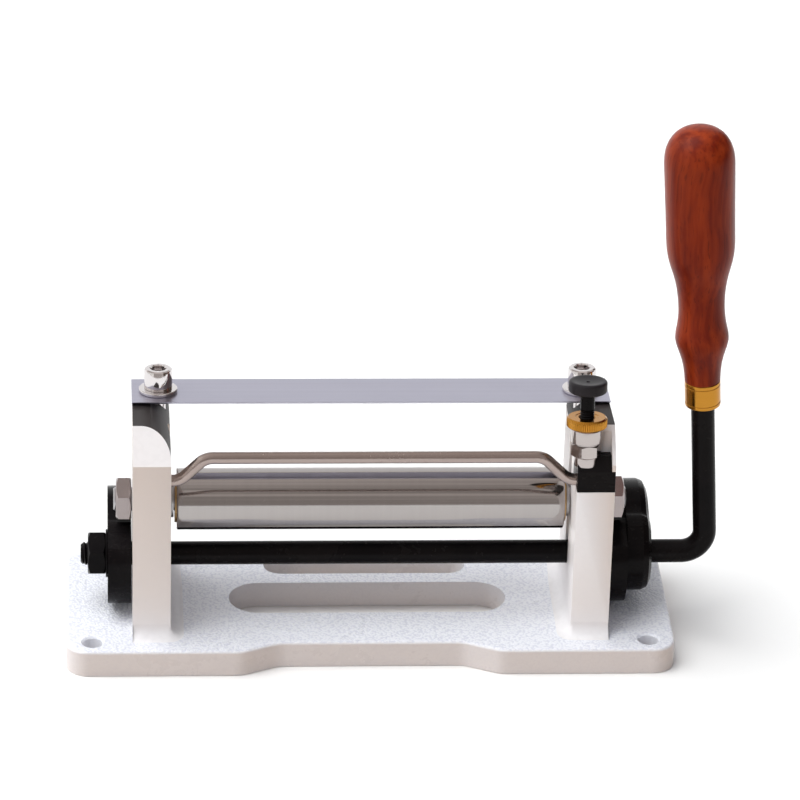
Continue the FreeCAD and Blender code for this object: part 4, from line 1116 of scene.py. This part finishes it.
    def build(self) -> None:
        """Make the wire, sleeve, screw and nut and finish the block."""
        make_piece("guard_wire_bent", self.bent_wire(), NICKEL, "guard", "guard_wire", 40.0)
        eased_copy("guard_block", "guard_block_eased", BLACK, "machine_frame", 0.5 * MM,
                   lambda middle, way: way.length > 4 * MM and middle.y < -20 * MM)
        sleeve = self.chrome_sleeve()
        for name, surface, finish, body, node, crease in (
                ("guard_sleeve_collar", sleeve, COLLAR_CHROME, "machine_frame", "guard_sleeve", 40.0),
                ("thumb_stem_threaded", self.threaded_stem(), BLACK, "thumb_screw", "thumb_stem", 40.0),
                ("thumb_knob_dished", self.dished_knob(), KNOB_BLACK, "thumb_screw", "thumb_knob", 40.0),
                ("lock_nut_knurled", self.knurled_nut(), BRASS, "lock_ring", "lock_nut", 25.0)):
            make_piece(name, self.on_screw(surface), finish, body, node, crease)
        finish_node("guard_dowel", BARE_STEEL)
        finish_node("screw_pad", BRASS)


# Studio

@dataclass
class Studio:
    """Pale floor, soft light from above and the left, a room that only reflections show, and the camera.

    Lengths are in metres and angles in degrees. The focal length is in pixels of a frame `frame_width` wide,
    and the sensor is in millimetres.
    """

    sky_left: Colour = (0.92, 0.92, 0.95)
    sky_right: Colour = (0.17, 0.175, 0.20)
    sun: float = 2.45
    sun_from: Colour = (-0.46, 0.02, 0.89)
    sun_width: float = 55.0
    sun_colour: Colour = (0.97, 0.99, 1.0)
    floor_half: float = 6.0
    floor_drop: float = 0.0002
    floor_bounce: Colour = (0.50, 0.34, 0.21)
    paper: Colour = (1.0, 0.99, 0.965)
    room: Colour = (0.56, 0.51, 0.485)
    room_radius: float = 1.6
    room_half: float = 2.4
    room_arc: tuple[float, float] = (4, 140)
    wall_left: Colour = (0.95, 0.93, 0.90)
    wall_right: Colour = (0.10, 0.075, 0.06)
    wall_out: float = 1.2
    wall_depth: tuple[float, float] = (-1.5, 2.0)
    wall_height: tuple[float, float] = (0.1, 2.0)
    focal: float = 4906.0
    distance: float = 1.9657
    pitch: float = 27.11
    yaw: float = 3.96
    roll: float = 1.66
    offset: tuple[float, float] = (0.00133, 0.01093)
    target: Colour = (0.010, 0.0, 0.090)
    frame_width: int = 800
    sensor: float = 36.0

    def build(self) -> None:
        """Set up the view, the floor, the lights and the camera."""
        scene = bpy.context.scene
        scene.view_settings.view_transform = "Standard"
        self.make_floor()
        self.make_world(scene)
        self.make_sun(scene)
        self.make_room()
        self.make_camera(scene)

    def background_share(self, graph: Graph) -> Socket:
        """1 for rays that show the background: straight from the camera, or by gloss or glass."""
        rays = graph.add("LightPath").outputs
        return graph.maths("MAXIMUM", rays["Is Camera Ray"],
                           graph.maths("MAXIMUM", rays["Is Glossy Ray"], rays["Is Transmission Ray"]))

    def make_floor(self) -> None:
        """Large plain floor: white to look at, and warm where it lights the machine from below."""
        made, graph, shader = new_material("floor_paper")
        colour = graph.blend(self.background_share(graph), rgba(self.floor_bounce), rgba(self.paper))
        graph.feed(shader, {"Base Color": colour, "Roughness": 0.9, "Specular IOR Level": 0.0})
        half, drop = self.floor_half, self.floor_drop
        corners = np.array([(-half, -half, 0), (half, -half, 0), (half, half, 0), (-half, half, 0)], float)
        self.stage_mesh("studio_floor", corners - (0, 0, drop), [(0, 1, 2, 3)], made)

    def stage_mesh(self, name: str, points: np.ndarray, faces: Sequence, made: bpy.types.Material,
                   unseen: Sequence[str] = ()) -> None:
        """Add a mesh to the studio.

        Args:
            name: its name.
            points: its points, in metres.
            faces: its faces.
            made: its material.
            unseen: kinds of ray that pass it by.
        """
        mesh = bpy.data.meshes.new(name)
        mesh.from_pydata(points, [], faces)
        mesh.materials.append(made)
        held = bpy.data.objects.new(name, mesh)
        for ray in unseen:
            setattr(held, f"visible_{ray}", False)
        bpy.context.scene.collection.objects.link(held)

    def make_world(self, scene: bpy.types.Scene) -> None:
        """White background; as light, a plain soft sky that is brighter at the left."""
        world = bpy.data.worlds.new("studio_world")
        scene.world = world
        world.use_nodes = True
        graph = Graph(world.node_tree)
        graph.tree.nodes.clear()
        sideways = graph.part(graph.add("TexCoord").outputs["Generated"], "X")
        sky = graph.blend(graph.spread(sideways, -1.0, 1.0), rgba(self.sky_left), rgba(self.sky_right))
        soft = graph.add("Background", {"Color": sky, "Strength": 1.0}).outputs[0]
        white = graph.add("Background", {"Color": (1.0, 1.0, 1.0, 1.0), "Strength": 1.0}).outputs[0]
        both = graph.add("MixShader", {0: self.background_share(graph), 1: soft, 2: white}).outputs[0]
        graph.add("OutputWorld", {"Surface": both})

    def make_sun(self, scene: bpy.types.Scene) -> None:
        """One broad lamp, above and to the left."""
        lamp = bpy.data.lights.new("window_light", "SUN")
        lamp.energy = self.sun
        lamp.angle = math.radians(self.sun_width)
        lamp.color = self.sun_colour
        held = bpy.data.objects.new("window_light", lamp)
        held.rotation_euler = Vector(self.sun_from).to_track_quat("Z", "Y").to_euler()
        scene.collection.objects.link(held)

    def make_room(self) -> None:
        """Room round the machine, which only reflections show: bright at the left, dim at the right.

        In front and overhead it is part of a cylinder about X: the point at angle a above the floor, towards
        the front, and at x is (x, -R cos a, R sin a). An upright wall stands across it at either side.
        """
        angle = np.radians(np.linspace(*self.room_arc, 34))[:, None]
        along = np.linspace(-self.room_half, self.room_half, 9)[None, :]
        across, angle = np.broadcast_arrays(along, angle)
        arch = np.stack([across, -self.room_radius * np.cos(angle), self.room_radius * np.sin(angle)], -1)
        self.glossy_card("studio_room", arch, self.room)
        depth, height = np.meshgrid(np.linspace(*self.wall_depth, 8), np.linspace(*self.wall_height, 6))
        for side, label, colour in ((-1, "left", self.wall_left), (1, "right", self.wall_right)):
            wall = np.stack([np.full_like(depth, side * self.wall_out), depth, height], -1)
            self.glossy_card(f"studio_wall_{label}", wall, colour)

    def glossy_card(self, name: str, points: np.ndarray, colour: Colour) -> None:
        """Unevenly glowing card that lights nothing and shows only in reflections.

        Args:
            name: the card's name.
            points: grid of its points, in metres.
            colour: its mean colour.
        """
        rows, columns = points.shape[:2]
        start = (np.arange(rows - 1)[:, None] * columns + np.arange(columns - 1)[None, :]).ravel()
        faces = np.stack([start, start + 1, start + columns + 1, start + columns], -1)
        made, graph, _ = new_material(name)
        graph.tree.nodes.clear()
        place = graph.add("TexCoord").outputs["Object"]
        bands = graph.add("VectorMath", {0: place, 1: (0.25, 2.2, 2.2)}, operation="MULTIPLY").outputs[0]
        uneven = graph.add("TexNoise", {"Vector": bands, "Scale": 1.6, "Detail": 2.0}).outputs["Fac"]
        tone = graph.blend(graph.spread(uneven, 0.35, 0.65), rgba(colour, 0.75), rgba(colour, 1.25))
        glow = graph.add("Emission", {"Color": tone, "Strength": 1.0}).outputs[0]
        graph.add("OutputMaterial", {"Surface": glow})
        self.stage_mesh(name, points.reshape(-1, 3), faces, made,
                        ("camera", "diffuse", "transmission", "volume_scatter", "shadow"))

    def make_camera(self, scene: bpy.types.Scene) -> None:
        """Camera at the photograph's angle, from a fit of the machine's corners.

        With pitch p and yaw w the view runs along (sin w cos p, cos w cos p, -sin p). The picture's right and
        up turn about it by the roll, and the camera stands `distance` behind the target, moved by `offset`
        along them.
        """
        pitch, yaw, roll = (math.radians(angle) for angle in (self.pitch, self.yaw, self.roll))
        ahead = Vector((math.sin(yaw) * math.cos(pitch), math.cos(yaw) * math.cos(pitch), -math.sin(pitch)))
        level = Vector((math.cos(yaw), -math.sin(yaw), 0))
        upright = level.cross(ahead)
        right = math.cos(roll) * level + math.sin(roll) * upright
        up = -math.sin(roll) * level + math.cos(roll) * upright
        place = Vector(self.target) - ahead * self.distance + right * self.offset[0] + up * self.offset[1]
        lens = bpy.data.cameras.new("photo_camera")
        lens.sensor_width = self.sensor
        lens.lens = self.sensor * self.focal / self.frame_width
        lens.clip_end = 50.0
        camera = bpy.data.objects.new("photo_camera", lens)
        turn = Matrix((right, up, -ahead)).transposed()
        camera.matrix_world = Matrix.Translation(place) @ turn.to_4x4()
        scene.collection.objects.link(camera)
        scene.camera = camera


def main() -> None:
    """Build the studio and the machine's sub-assemblies in order."""
    logging.basicConfig(level=logging.INFO, format="%(name)s: %(message)s")
    for make in (make_pebble_group, make_lines_group, make_handling_group):
        make()
    for assembly in (Studio(), Casting(), Cutter(), Roller(), Lever(), Guard()):
        assembly.build()


if __name__ == "__main__":
    main()
